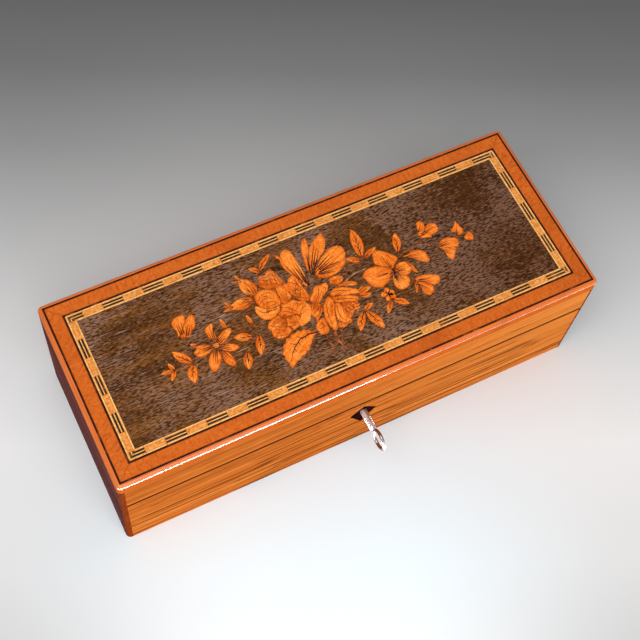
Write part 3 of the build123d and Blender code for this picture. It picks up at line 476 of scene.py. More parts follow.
def corner_stations(sx, sy, start, end):
    """Places round one corner of the lid: the centre of its curve and the direction out of it."""
    centre = (sx * (lid_half_length - corner_round), sy * (lid_half_width - corner_round))
    steps = [start + (end - start) * i / corner_cuts for i in range(corner_cuts + 1)]
    return [(centre, (cos(a), sin(a))) for a in steps]


points = []
faces = []
grain_marks = []
corners = [(1, 1), (-1, 1), (-1, -1), (1, -1)]
for side_number in range(4):
    sx, sy = corners[side_number]
    ex, ey = corners[(side_number + 1) % 4]
    first_angle = pi / 4 + side_number * pi / 2
    last_angle = first_angle + pi / 2
    middle = pi / 2 + side_number * pi / 2
    stations = corner_stations(sx, sy, first_angle, middle) + corner_stations(ex, ey, middle, last_angle)
    first = len(points)
    run = 0.0
    last_place = None
    for centre, out in stations:
        place = (centre[0] + out[0] * corner_round, centre[1] + out[1] * corner_round)
        if last_place:
            run += hypot(place[0] - last_place[0], place[1] - last_place[1])
        last_place = place
        walked = 0.0
        for k, (inset, drop) in enumerate(profile):
            if k:
                walked += hypot(inset - profile[k - 1][0], drop - profile[k - 1][1])
            reach = corner_round - inset
            points.append((centre[0] + out[0] * reach, centre[1] + out[1] * reach, lid_top + drop))
            grain_marks.append((run + strip_grain_shift * side_number, walked))
    rows = len(profile)
    for s in range(len(stations) - 1):
        for k in range(rows):
            a = first + s * rows + k
            b = first + s * rows + (k + 1) % rows
            faces.append((a, b, b + rows, a + rows))
    faces.append(tuple(first + k for k in reversed(range(rows))))
    faces.append(tuple(first + (len(stations) - 1) * rows + k for k in range(rows)))

rounding_from = sum(hypot(b[0] - a[0], b[1] - a[1]) for a, b in zip(profile[:3], profile[1:4]))
gloss_from = rounding_from + 0.25
gloss_to = rounding_from + 0.95
lipping_wood, tree, shader = new_finish("french_polished_satinwood_edge", {
    "Roughness": 0.34, "Specular IOR Level": 0.0, "Coat Roughness": 0.18, "Coat IOR": 1.5})
grain_map = add_node(tree, "ShaderNodeUVMap", uv_map="grain")
edge_grain = grain_streaks(tree, grain_map, 60, 0.8, 51.0)
colour = add_node(tree, "ShaderNodeValToRGB", {"Fac": edge_grain}, "Color", stops=[
    (0.28, "#BC5218"), (0.46, "#D86A26"), (0.64, "#E67A32"), (0.84, "#F29048")])
edge_clouds = clouds(tree, grain_map, 16, 52.0)
colour = stain(tree, colour, edge_clouds, 0.5, 0.75, 0.4, "#A84410")
up_the_edge = tree.nodes.new("ShaderNodeSeparateXYZ")
tree.links.new(grain_map, up_the_edge.inputs[0])
waxed = add_node(tree, "ShaderNodeMapRange", {
    "Value": up_the_edge.outputs[1], "From Min": gloss_from * mm, "From Max": gloss_to * mm})
tree.links.new(waxed, shader.inputs["Coat Weight"])
finish_off(tree, shader, colour, edge_clouds, 0.04)

lipping = mesh_piece("lid_lipping", points, faces, lipping_wood, smooth=True)
grain_layer = lipping.data.uv_layers.new(name="grain")
for loop in lipping.data.loops:
    u, v = grain_marks[loop.vertex_index]
    grain_layer.data[loop.index].uv = (u * mm, v * mm)
lipping.data.set_sharp_from_angle(angle=crease_angle)
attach(lipping, "lid")
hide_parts("lid_edge_lipping")


# Marquetry ground: one leaf of dark walnut veneer, 0.9 mm thick, glued to the lid inside the banding.
# Its polish has sunk into the open pores, which lie along the lid; their pale glints in the light are
# painted highlights.
ground_half_length = 132.75
ground_half_width = 41.25
ground_top = lid_top - 0.14
veneer_depth = 0.8
ground_cell = 3.0
unevenness = 0.02

columns = round(2 * ground_half_length / ground_cell)
rows = round(2 * ground_half_width / ground_cell)
points = []
faces = []
for j in range(rows + 1):
    y = -ground_half_width + 2 * ground_half_width * j / rows
    for i in range(columns + 1):
        x = -ground_half_length + 2 * ground_half_length * i / columns
        swell = sin(x / 17.0 + 2.0 * sin(y / 23.0)) * sin(y / 11.0 + 1.3)
        points.append((x, y, ground_top + unevenness * (swell - 1) / 2))
for j in range(rows):
    for i in range(columns):
        a = j * (columns + 1) + i
        faces.append((a, a + 1, a + columns + 2, a + columns + 1))
rim = [i for i in range(columns)]
rim += [j * (columns + 1) + columns for j in range(rows)]
rim += [rows * (columns + 1) + i for i in range(columns, 0, -1)]
rim += [j * (columns + 1) for j in range(rows, 0, -1)]
below = len(points)
points += [(points[k][0], points[k][1], ground_top - veneer_depth) for k in rim]
for n, k in enumerate(rim):
    m = (n + 1) % len(rim)
    faces.append((rim[m], k, below + n, below + m))
faces.append(tuple(below + n for n in reversed(range(len(rim)))))

ground_wood, tree, shader = new_finish("french_polished_dark_walnut_ground", {
    "Roughness": 0.36, "Specular IOR Level": 0.08})
place = add_node(tree, "ShaderNodeTexCoord", result="Object")
swaying = wavering(tree, place, 90, 2.5, 61.0)
figure = grain_streaks(tree, swaying, 110, 10.0, 62.0, detail=3.0)
colour = add_node(tree, "ShaderNodeValToRGB", {"Fac": figure}, "Color", stops=[
    (0.28, "#48280C"), (0.44, "#643A14"), (0.58, "#764618"), (0.76, "#885420")])
shades = clouds(tree, place, 34, 63.0)
colour = stain(tree, colour, shades, 0.48, 0.68, 0.5, "#6A4636")
along = tree.nodes.new("ShaderNodeSeparateXYZ")
tree.links.new(place, along.inputs[0])
colour = stain(tree, colour, along.outputs[0], 10 * mm, 115 * mm, 0.62, "#3E1D06")
fibre = grain_streaks(tree, place, 9, 0.55, 64.0, detail=3.0)
colour = stain(tree, colour, fibre, 0.52, 0.68, 0.70, "#2E180A")
spots = clouds(tree, place, 13, 65.0)
colour = stain(tree, colour, spots, 0.60, 0.74, 0.65, "#26120A")
# Painted highlights: pale flecks over the cloud patches stand for glints on the fine pores; the dark flecks
# are the pores themselves.
flecks = grain_streaks(tree, swaying, 2.4, 0.62, 69.0, detail=4.0)
painted_glint_flecks = add_node(tree, "ShaderNodeMath", {0: shades, 1: 0.45, 2: flecks}, operation="MULTIPLY_ADD")
colour = stain(tree, colour, painted_glint_flecks, 0.72, 0.84, 0.72, "#946E58")
colour = stain(tree, colour, flecks, 0.49, 0.37, 0.92, "#221006")
colour = stain(tree, colour, along.outputs[0], 40 * mm, 115 * mm, 0.28, "#4A2408")
# Painted highlights: pale streaks along the larger pores stand for glints, most at the left.
pore = grain_streaks(tree, swaying, 17, 0.42, 66.0, detail=1.0)
patch = clouds(tree, place, 40, 67.0)
patch_most = add_node(tree, "ShaderNodeMapRange", {
    "Value": patch, "From Min": 0.36, "From Max": 0.60, "To Min": 0.15, "To Max": 0.85})
fewer_right = add_node(tree, "ShaderNodeMapRange", {
    "Value": along.outputs[0], "From Min": -40 * mm, "From Max": 80 * mm, "To Min": 1.0, "To Max": 0.25})
painted_pore_glint_most = add_node(tree, "ShaderNodeMath", {0: patch_most, 1: fewer_right}, operation="MULTIPLY")
painted_pore_glint_share = add_node(tree, "ShaderNodeMapRange", {
    "Value": pore, "From Min": 0.64, "From Max": 0.71, "To Max": painted_pore_glint_most})
colour = add_node(tree, "ShaderNodeMix", {
    "Factor": painted_pore_glint_share, "A": colour, "B": "#B09086"}, data_type="RGBA")
finish_off(tree, shader, colour, pore, -0.05)

ground = mesh_piece("marquetry_ground_leaf", points, faces, ground_wood, smooth=True)
ground.data.set_sharp_from_angle(angle=crease_angle)
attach(ground, "lid")
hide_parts("marquetry_ground")


# Marquetry spray: flowers, buds and leaves of satinwood, each petal sawn out and let into the ground.
# Edges are scorched in hot sand so that the petals seem to turn, and their veins are graver cuts.
lay_step = 0.01
line_lift = 0.02
chance = Random(9)
vein_paths = []
fold_paths = []


def new_sheet():
    """An empty group of sawn pieces of one kind."""
    return {"points": [], "faces": [], "grain": [], "foot": [], "rim": [], "side": [], "tone": []}


sheets = {"flower_petals": new_sheet(), "bud_petals": new_sheet(), "spray_leaves": new_sheet()}


def smooth_place(before, here, ahead, beyond, t):
    """A place on the smooth curve from here to ahead, which heeds the places on either side of them."""
    return 0.5 * ((2 * here) + (ahead - before) * t + (2 * before - 5 * here + 4 * ahead - beyond) * t**2
                  + (3 * here - before - 3 * ahead + beyond) * t**3)


def rounded(corners, cuts=4):
    """A smooth closed line through a few corners."""
    line = []
    count = len(corners)
    for i in range(count):
        four = [Vector(corners[(i + k) % count]) for k in (-1, 0, 1, 2)]
        line += [smooth_place(*four, step / cuts) for step in range(cuts)]
    return line


def lay(sheet_name, outer, inner, foot, tip, half_width, level, tone):
    """Lets one sawn piece into the ground: a top with a scorched rim, square edges and a flat back."""
    sheet = sheets[sheet_name]
    foot, tip = Vector(foot), Vector(tip)
    length = (tip - foot).length
    along = (tip - foot) / length
    across = Vector((-along.y, along.x))
    count = len(outer)
    twice_area = sum(outer[i - 1].x * outer[i].y - outer[i].x * outer[i - 1].y for i in range(count))
    if twice_area < 0:
        outer, inner = outer[::-1], inner[::-1]
    first = len(sheet["points"])
    top = ground_top + lay_step * (1 + level)
    back = ground_top - veneer_depth / 2
    veneer_leaf_length = 400
    grain_shift = chance.uniform(0, veneer_leaf_length)
    for ring, height, rim_share in ((outer, top, 1.0), (inner, top, 0.0), (outer, back, 1.0)):
        for place in ring:
            off = place - foot
            u, v = off.dot(along), off.dot(across)
            sheet["points"].append((place.x, place.y, height))
            sheet["grain"].append((u + grain_shift, v + grain_shift))
            sheet["foot"].append(min(max(1 - u / length, 0.0), 1.0))
            sheet["rim"].append(rim_share)
            sheet["side"].append(min(max(v / half_width, -1.0), 1.0))
            sheet["tone"].append(tone)
    for i in range(count):
        j = (i + 1) % count
        sheet["faces"].append((first + i, first + j, first + count + j, first + count + i))
        sheet["faces"].append((first + j, first + i, first + 2 * count + i, first + 2 * count + j))
    sheet["faces"].append(tuple(first + count + i for i in range(count)))
    sheet["faces"].append(tuple(first + 2 * count + i for i in reversed(range(count))))
    return top + line_lift


def engrave(places, width, level_height, fade=True, lines=vein_paths):
    """Notes the path of a graver's cut or a scorched fold, which thins out towards its end."""
    thinnest = 0.06
    cut = []
    for i, (x, y) in enumerate(places):
        share = i / (len(places) - 1)
        swell = (1 - share) ** 0.6 if fade else sin(pi * (0.08 + 0.84 * share)) ** 0.5
        cut.append((x, y, level_height, max(width * swell, thinnest)))
    lines.append(cut)


# How full a piece is near its foot and near its tip: the smaller the number, the rounder that end
shapes = {"leaf": (0.85, 0.95), "lobe": (0.60, 0.45), "bud": (0.50, 0.80)}


def blade(sheet_name, shape, foot, tip, width, bow, level, tone, veins):
    """A petal or leaf on a middle line bent by bow, with veins that spread from its foot."""
    foot_power, tip_power = shapes[shape]
    widest = foot_power / (foot_power + tip_power)
    fullest = widest**foot_power * (1 - widest)**tip_power
    foot, tip = Vector(foot), Vector(tip)
    along = tip - foot
    across = Vector((-along.y, along.x)).normalized()

    def place(t, v):
        swell = t**foot_power * (1 - t)**tip_power / fullest
        return foot + along * t + across * (4 * bow * t * (1 - t) + v * swell * width / 2)

    cuts = 14
    steps = [0.5 - 0.5 * cos(pi * i / cuts) for i in range(cuts + 1)]
    outer = [place(t, 1.0) for t in steps] + [place(t, -1.0) for t in steps][-2:0:-1]
    squeezed = [0.08 + 0.84 * t for t in steps]
    unscorched = 0.66
    inner = [place(t, unscorched) for t in squeezed] + [place(t, -unscorched) for t in squeezed][-2:0:-1]
    top = lay(sheet_name, outer, inner, foot, tip, width / 2, level, tone)
    if shape == "leaf":
        middle_line = [place(0.02 + 0.76 * i / 10, 0) for i in range(11)]
        engrave(middle_line, 0.62 if width > 4 else 0.42, top)
        for k in range(veins):
            t = 0.22 + 0.46 * k / veins
            v = 1 if k % 2 else -1
            engrave([place(t, 0.05 * v), place(t + 0.08, 0.32 * v), place(t + 0.17, 0.56 * v)], 0.42, top)
    else:
        for k in range(veins):
            v = 0.0 if veins == 1 else -0.50 + 1.0 * k / (veins - 1)
            start = chance.uniform(0.06, 0.22)
            reach = chance.uniform(0.22, 0.34) if k % 2 else chance.uniform(0.34, 0.52)
            engrave([place(start + reach * i / 8, v * (0.7 + 0.5 * i / 8)) for i in range(9)], 0.52, top)


def toothed(corners, depth):
    """The edge of a saw-toothed leaf: its corners are the teeth, with a notch cut between each two."""
    middle = sum((Vector(c) for c in corners), Vector((0, 0))) / len(corners)
    edge = []
    for i, corner in enumerate(corners):
        ahead = Vector(corners[(i + 1) % len(corners)])
        halfway = (Vector(corner) + ahead) / 2
        edge += [corner, tuple(halfway + (middle - halfway).normalized() * depth)]
    return edge


def saw_out(sheet_name, corners, level, tone, outwards):
    """A petal or leaf sawn to a smooth line through its corners, scorched most at its inner end."""
    outer = rounded(corners)
    middle = sum(outer, Vector((0, 0))) / len(outer)
    unscorched = 0.74
    inner = [middle + (p - middle) * unscorched for p in outer]
    reach = max((p - middle).length for p in outer)
    way = Vector(outwards).normalized()
    return lay(sheet_name, outer, inner, middle - way * reach, middle + way * reach, reach, level, tone)


def cut_petals(sheet_name, width, petals, lines=vein_paths):
    """Cuts petals, each given by its flower's heart, its level, tone, number of strokes and corners."""
    for heart, level, tone, strokes, corners in petals:
        middle = sum((Vector(c) for c in corners), Vector((0, 0))) / len(corners)
        out = middle - Vector(heart)
        top = saw_out(sheet_name, corners, level, tone, out)
        beside = Vector((-out.y, out.x)).normalized() * width * 1.6
        for k in range(strokes):
            off = k - (strokes - 1) / 2
            begin = chance.uniform(0.30, 0.45)
            end = chance.uniform(1.0, 1.3)
            bend = chance.uniform(-0.3, 0.3)
            line = []
            for i in range(6):
                t = begin + (end - begin) * i / 5
                aside = off * (0.45 + 0.75 * t) + bend * t * (1.6 - t)
                line.append(Vector(heart) + out * t + beside * aside)
            engrave(line, width, top, lines=lines)


def fan(centre, start_angle, end_angle, near, far, count, width, level):
    """Stamens or veins that spread from a flower's heart."""
    for k in range(count):
        turned = start_angle + (end_angle - start_angle) * (k + chance.uniform(-0.3, 0.3)) / (count - 1)
        angle = radians(turned)
        reach = chance.uniform(0.7, 1.0) * far
        line = []
        for i in range(5):
            r = near + (reach - near) * i / 4
            bend = 0.10 * sin(k * 2.3) * i / 4
            line.append((centre[0] + r * cos(angle + bend), centre[1] + r * sin(angle + bend)))
        engrave(line, width, ground_top + lay_step * (1 + level) + line_lift)


# Places are millimetres from the middle of the lid, along it and across it. The corners of petals and
# folds were picked on the photograph and carried onto the lid through its camera, to 0.1 mm.
# Each row of a leaf or bud holds its foot, tip, width, bow, level, tone and number of veins.
# Left end of the spray: a tulip and a six-petalled star
cut_petals("bud_petals", 0.75, [
    ((-82.4, 5.4), 1, 0.5, 2, [
        (-79.0, 16.2), (-77.1, 18.1), (-75.1, 19.3), (-73.7, 18.9), (-73.1, 17.0), (-73.8, 13.9),
        (-75.3, 11.2), (-77.3, 10.3), (-79.2, 7.8), (-80.6, 6.4), (-83.3, 7.1), (-85.1, 8.7),
        (-82.2, 12.2)]),
    ((-83.4, 6.4), 2, 0.6, 3, [
        (-85.9, 18.9), (-83.6, 20.7), (-80.7, 21.1), (-78.7, 21.1), (-78.1, 19.3), (-78.8, 16.6),
        (-80.7, 14.3), (-83.2, 11.0), (-85.2, 9.1), (-86.8, 9.5), (-85.6, 10.9), (-85.9, 13.9),
        (-86.3, 16.3)]),
])
engrave([(-82.0, 6.0), (-79.4, 4.0), (-76.8, 2.4)], 0.5, ground_top + line_lift)
star_heart = (-69.3, -3.9)
cut_petals("flower_petals", 0.62, [
    (star_heart, 1, 0.5, 3, [
        (-66.1, 9.6), (-66.1, 7.7), (-67.1, 5.3), (-66.9, 3.0), (-67.0, 0.2), (-68.2, -2.5),
        (-69.2, -1.5), (-70.5, 0.7), (-71.1, 3.8), (-71.1, 6.6), (-70.0, 8.5), (-68.2, 9.0)]),
    (star_heart, 2, 0.62, 3, [
        (-57.6, 2.4), (-58.3, 0.2), (-60.5, -1.6), (-62.9, -3.3), (-65.4, -4.3), (-67.6, -4.2),
        (-67.5, -2.3), (-65.7, 0.2), (-62.7, 2.2), (-59.9, 2.9)]),
    (star_heart, 3, 0.45, 3, [
        (-57.8, -10.0), (-60.3, -11.1), (-63.1, -10.6), (-65.9, -9.1), (-67.6, -7.0), (-67.6, -5.0),
        (-64.6, -5.3), (-61.9, -5.9), (-59.2, -7.5)]),
    (star_heart, 1, 0.5, 3, [
        (-64.5, -19.6), (-67.0, -18.0), (-68.6, -15.0), (-68.8, -11.6), (-68.7, -8.1), (-67.0, -8.2),
        (-64.6, -10.6), (-63.6, -14.0), (-63.5, -17.0)]),
    (star_heart, 2, 0.62, 3, [
        (-76.7, -18.2), (-77.6, -15.3), (-77.0, -11.7), (-75.2, -8.7), (-72.3, -6.7), (-70.1, -5.9),
        (-69.0, -7.7), (-69.2, -10.9), (-70.9, -14.5), (-74.2, -17.4)]),
    (star_heart, 3, 0.45, 3, [
        (-79.5, -7.3), (-81.6, -5.3), (-82.2, -3.3), (-80.6, -1.9), (-78.7, 0.0), (-75.6, -0.8),
        (-71.8, -2.2), (-71.1, -4.1), (-73.3, -6.3), (-76.6, -7.5)]),
])
blade("flower_petals", "lobe", (-71.0, -3.9), (-67.6, -3.9), 3.2, 0.0, 5, 0.85, 0)
fan(star_heart, 0, 330, 0.5, 2.2, 7, 0.36, 6)

# Left end: leaves, and three half-open buds, each a pale heart in a darker sheath
for leaf in (
        ((-84.8, -8.2), (-92.8, 2.4), 6.0, 0.5, 0, 0.55, 4),
        ((-85.2, -9.2), (-89.0, -19.8), 6.2, -0.5, 0, 0.45, 3),
        ((-95.6, -8.2), (-97.6, -3.0), 2.6, 0.2, 0, 0.45, 0),
        ((-95.6, -8.2), (-103.4, -7.3), 2.8, 0.2, 0, 0.45, 0),
        ((-95.6, -8.2), (-99.8, -13.4), 2.8, 0.2, 0, 0.45, 0),
        ((-59.6, 3.0), (-60.6, 10.2), 2.6, 0.2, 0, 0.4, 0),
        ((-78.4, 0.2), (-82.0, 2.4), 2.2, 0.1, 0, 0.4, 0),
        ((-45.0, -0.4), (-46.2, 6.4), 2.4, 0.3, 0, 0.35, 0)):
    blade("spray_leaves", "leaf", *leaf)
for foot, tip in (
        ((-48.2, -7.2), (-58.4, -3.6)), ((-45.0, -7.8), (-49.0, -19.6)), ((-55.4, -14.6), (-58.8, -24.6))):
    blade("bud_petals", "leaf", foot, tip, 5.4, 0.3, 1, 0.4, 2)
    start = (0.35 * tip[0] + 0.65 * foot[0], 0.35 * tip[1] + 0.65 * foot[1])
    end = (0.85 * tip[0] + 0.15 * foot[0], 0.85 * tip[1] + 0.15 * foot[1])
    blade("bud_petals", "bud", start, end, 2.2, 0.1, 2, 0.98, 1)

# Middle: two rosebuds with their sepals
for shape, *bud in (
        ("leaf", (-40.2, 26.0), (-45.4, 29.0), 1.2, 0.3, 0, 0.6, 0),
        ("leaf", (-39.8, 26.0), (-41.9, 32.2), 1.4, 0.1, 0, 0.8, 0),
        ("bud", (-36.0, 15.4), (-40.6, 28.4), 8.4, -0.6, 1, 0.25, 3),
        ("bud", (-38.0, 16.4), (-41.0, 27.6), 4.8, 0.5, 2, 0.85, 2),
        ("leaf", (-50.5, 13.6), (-57.0, 13.0), 1.6, 0.2, 0, 0.5, 0),
        ("leaf", (-50.5, 13.6), (-55.6, 15.8), 1.6, 0.2, 0, 0.5, 0),
        ("leaf", (-50.5, 13.6), (-54.2, 18.6), 1.6, 0.2, 0, 0.5, 0),
        ("bud", (-38.8, 13.8), (-53.0, 13.8), 7.4, 0.5, 1, 0.45, 3),
        ("bud", (-41.0, 14.6), (-51.0, 15.2), 3.6, -0.3, 2, 0.9, 2)):
    blade("bud_petals", shape, *bud)

# Middle: the lily
lily_foot = (-6.2, 5.0)
lily_heart = (-1.4, 13.4)
cut_petals("flower_petals", 0.8, [
    (lily_foot, 1, 0.5, 1, [
        (-15.3, 33.8), (-15.0, 32.2), (-13.8, 30.4), (-14.5, 27.2), (-13.5, 22.6), (-11.8, 18.6),
        (-9.8, 16.2), (-9.8, 19.4), (-10.6, 24.3), (-11.8, 28.4), (-12.8, 31.8)]),
    (lily_foot, 2, 0.75, 3, [
        (-11.7, 34.0), (-9.1, 35.1), (-6.8, 34.3), (-5.6, 31.3), (-5.3, 27.6), (-4.9, 22.9), (-4.7, 18.1),
        (-5.3, 13.6), (-6.3, 8.8), (-7.0, 6.2), (-8.4, 10.4), (-9.6, 14.4), (-11.1, 20.0), (-12.3, 25.0),
        (-13.1, 30.1)]),
    (lily_heart, 1, 0.5, 1, [
        (2.4, 35.2), (4.7, 37.2), (6.1, 36.0), (5.4, 32.7), (3.7, 28.6), (1.0, 23.8), (-0.2, 19.0),
        (-2.0, 16.9), (-1.9, 21.6), (-0.8, 27.0), (0.7, 31.8)]),
    (lily_heart, 3, 0.6, 3, [
        (3.5, 28.1), (5.1, 30.4), (8.8, 33.6), (12.5, 35.6), (15.7, 36.6), (16.3, 33.9), (15.2, 29.5),
        (12.7, 25.8), (10.6, 24.1), (6.5, 21.4), (2.7, 19.5), (-0.7, 16.5), (-0.4, 19.7), (1.6, 23.6)]),
    (lily_heart, 2, 0.45, 3, [
        (0.2, 11.9), (5.4, 13.8), (11.4, 15.0), (17.3, 15.1), (21.3, 16.0), (19.7, 13.1), (16.1, 10.5),
        (11.6, 9.0), (7.1, 8.7), (3.3, 9.5)]),
    (lily_heart, 4, 0.7, 4, [
        (-0.6, 14.5), (2.4, 17.3), (7.4, 21.0), (12.9, 24.5), (17.8, 25.7), (21.7, 24.8), (23.2, 22.3),
        (22.6, 18.4), (20.3, 15.2), (17.0, 15.5), (11.6, 15.5), (5.6, 14.1), (0.4, 12.2)]),
])
fan((-1.6, 12.8), 25, 80, 1.5, 14.0, 5, 0.62, 6)
fan((-5.6, 8.0), 80, 108, 1.0, 15.0, 3, 0.62, 5)

# Middle: the full rose on the left, from its outer petals in
fold_top = ground_top + 9 * lay_step + line_lift
cut_petals("flower_petals", 0.5, [
    ((-26.0, 4.0), 1, 0.38, 5, [
        (-31.6, 22.7), (-30.4, 24.6), (-28.7, 25.7), (-25.9, 25.0), (-24.5, 26.5), (-22.5, 27.0),
        (-20.5, 25.3), (-19.3, 22.6), (-18.4, 19.5), (-17.7, 17.0), (-18.9, 15.4), (-21.0, 14.1),
        (-23.7, 14.5), (-27.4, 15.7), (-30.6, 17.1), (-32.0, 19.1), (-32.1, 21.0)]),
    ((-16.0, 0.0), 2, 0.5, 6, [
        (-19.3, 15.5), (-17.3, 14.7), (-15.7, 16.1), (-14.4, 17.7), (-11.3, 18.2), (-10.0, 16.8),
        (-9.7, 13.4), (-9.4, 10.0), (-8.7, 6.5), (-8.4, 4.2), (-8.1, 1.9), (-10.2, -0.4), (-13.4, 0.0),
        (-15.1, 2.4), (-17.0, 6.4), (-18.3, 9.7), (-19.6, 13.0)]),
    ((-20.0, 0.0), 3, 0.42, 3, [
        (-24.2, 14.5), (-20.3, 15.5), (-19.4, 13.4), (-18.1, 10.1), (-17.4, 7.1), (-19.2, 4.8),
        (-21.3, 2.5), (-24.2, 3.3), (-25.0, 5.8), (-24.1, 9.6), (-24.6, 12.5)]),
    ((-22.0, -2.0), 4, 0.46, 6, [
        (-30.0, 5.4), (-25.6, 4.5), (-22.6, 3.7), (-18.8, 4.6), (-16.1, 2.3), (-12.9, 0.9), (-11.6, -1.3),
        (-14.5, -3.2), (-17.1, -4.7), (-17.4, -7.2), (-21.5, -6.9), (-26.4, -5.2), (-30.0, -4.6),
        (-31.3, -1.4)]),
    ((-24.0, -2.0), 5, 0.5, 4, [
        (-26.4, -4.1), (-22.3, -4.4), (-18.7, -6.0), (-19.4, -9.4), (-21.1, -11.8), (-24.0, -12.8),
        (-27.4, -13.1), (-29.7, -11.0), (-28.9, -7.2)]),
    ((-24.0, -3.0), 6, 0.44, 4, [
        (-37.4, -8.8), (-34.2, -8.5), (-30.9, -10.5), (-27.7, -9.8), (-25.8, -12.3), (-28.4, -14.2),
        (-31.5, -15.6), (-34.9, -14.9), (-37.4, -13.2), (-37.8, -11.0)]),
    ((-22.0, -2.0), 7, 0.55, 5, [
        (-37.8, -4.7), (-35.9, -3.0), (-33.0, -2.0), (-29.3, -1.3), (-28.2, -3.9), (-26.9, -6.0),
        (-28.1, -9.6), (-31.2, -11.1), (-34.5, -9.1), (-37.2, -8.9), (-38.5, -7.0)]),
    ((-24.0, 0.0), 8, 0.97, 0, [
        (-14.4, -2.2), (-11.9, -0.9), (-10.5, -2.6), (-11.1, -5.8), (-13.0, -8.6), (-14.7, -11.5),
        (-17.5, -12.4), (-20.7, -13.0), (-21.6, -10.5), (-20.0, -8.6), (-17.9, -6.4), (-17.3, -4.1)]),
    ((-25.0, 2.0), 8, 0.9, 1, [
        (-39.2, 9.0), (-37.4, 7.7), (-34.7, 5.4), (-31.6, 4.0), (-28.2, 4.1), (-25.4, 4.4), (-26.7, 1.2),
        (-29.3, -0.7), (-32.6, -2.1), (-35.8, -1.8), (-38.4, -0.3), (-39.9, 2.4), (-40.5, 5.1),
        (-40.2, 7.3)]),
    ((-36.0, -2.0), 9, 0.62, 2, [
        (-38.2, 13.3), (-36.6, 15.3), (-34.1, 16.8), (-30.7, 16.8), (-27.6, 15.4), (-25.2, 13.3),
        (-24.4, 9.8), (-24.4, 6.6), (-25.3, 4.1), (-28.7, 3.5), (-33.3, 4.3), (-36.5, 6.7), (-38.1, 9.3),
        (-38.5, 11.6)]),
], fold_paths)
left_rose_folds = [
    [(-36.4, 10.9), (-34.1, 13.6), (-31.3, 14.5), (-28.4, 13.7), (-26.6, 11.3)],
    [(-36.8, 9.0), (-34.0, 10.9), (-30.6, 11.0), (-28.1, 9.3)],
    [(-34.5, 7.9), (-31.5, 8.2), (-28.9, 7.6), (-26.4, 5.9)],
    [(-33.1, 5.7), (-29.7, 5.8), (-27.0, 5.6)],
    [(-34.4, 12.1), (-31.8, 12.6), (-29.8, 11.7)],
    [(-25.4, 12.9), (-24.5, 9.8), (-24.6, 6.1), (-25.8, 4.0)],
    [(-30.4, 23.7), (-27.2, 21.2), (-23.0, 21.0), (-20.9, 18.4)],
    [(-30.8, 20.7), (-27.1, 18.5), (-22.7, 17.6), (-20.3, 15.5)],
    [(-23.1, 24.8), (-21.5, 23.0), (-20.0, 20.2)],
    [(-15.5, 15.4), (-13.5, 13.5), (-11.4, 12.0), (-10.7, 8.4)],
    [(-12.5, 15.7), (-11.5, 13.7), (-11.8, 11.1)],
    [(-16.1, 8.2), (-13.4, 5.9), (-10.2, 4.5)],
    [(-17.0, 6.4), (-14.4, 3.7), (-10.5, 1.9)],
    [(-17.9, 1.5), (-15.8, 0.0), (-13.7, -0.6)],
    [(-25.5, 1.8), (-22.5, 1.0), (-20.8, -1.4)],
    [(-26.9, -0.2), (-23.8, -1.6), (-21.2, -3.3)],
    [(-24.0, -2.1), (-22.0, -4.0), (-18.5, -5.6), (-16.3, -6.1)],
    [(-36.9, -5.2), (-35.0, -7.1), (-32.4, -7.7), (-30.9, -9.4)],
    [(-34.3, -3.7), (-32.4, -5.6), (-29.4, -6.4)],
    [(-32.7, -2.3), (-30.4, -4.4), (-28.9, -7.2)],
    [(-36.2, -10.7), (-33.5, -11.9), (-29.8, -12.0)],
    [(-36.2, -12.7), (-33.4, -13.7), (-30.7, -13.9)],
    [(-26.5, -7.3), (-24.6, -9.2), (-22.0, -9.8)],
    [(-28.1, -9.6), (-25.4, -10.9), (-23.0, -10.9)],
    [(-39.2, 6.9), (-37.3, 3.9), (-33.2, 2.6), (-28.6, 3.2)],
    [(-31.8, 3.6), (-34.6, 2.7), (-37.3, 2.9)],
]
for fold in left_rose_folds:
    engrave(fold, 0.5, fold_top, fade=False, lines=fold_paths)
fan((-13.6, 8.2), 10, 200, 0.6, 4.6, 7, 0.34, 5)

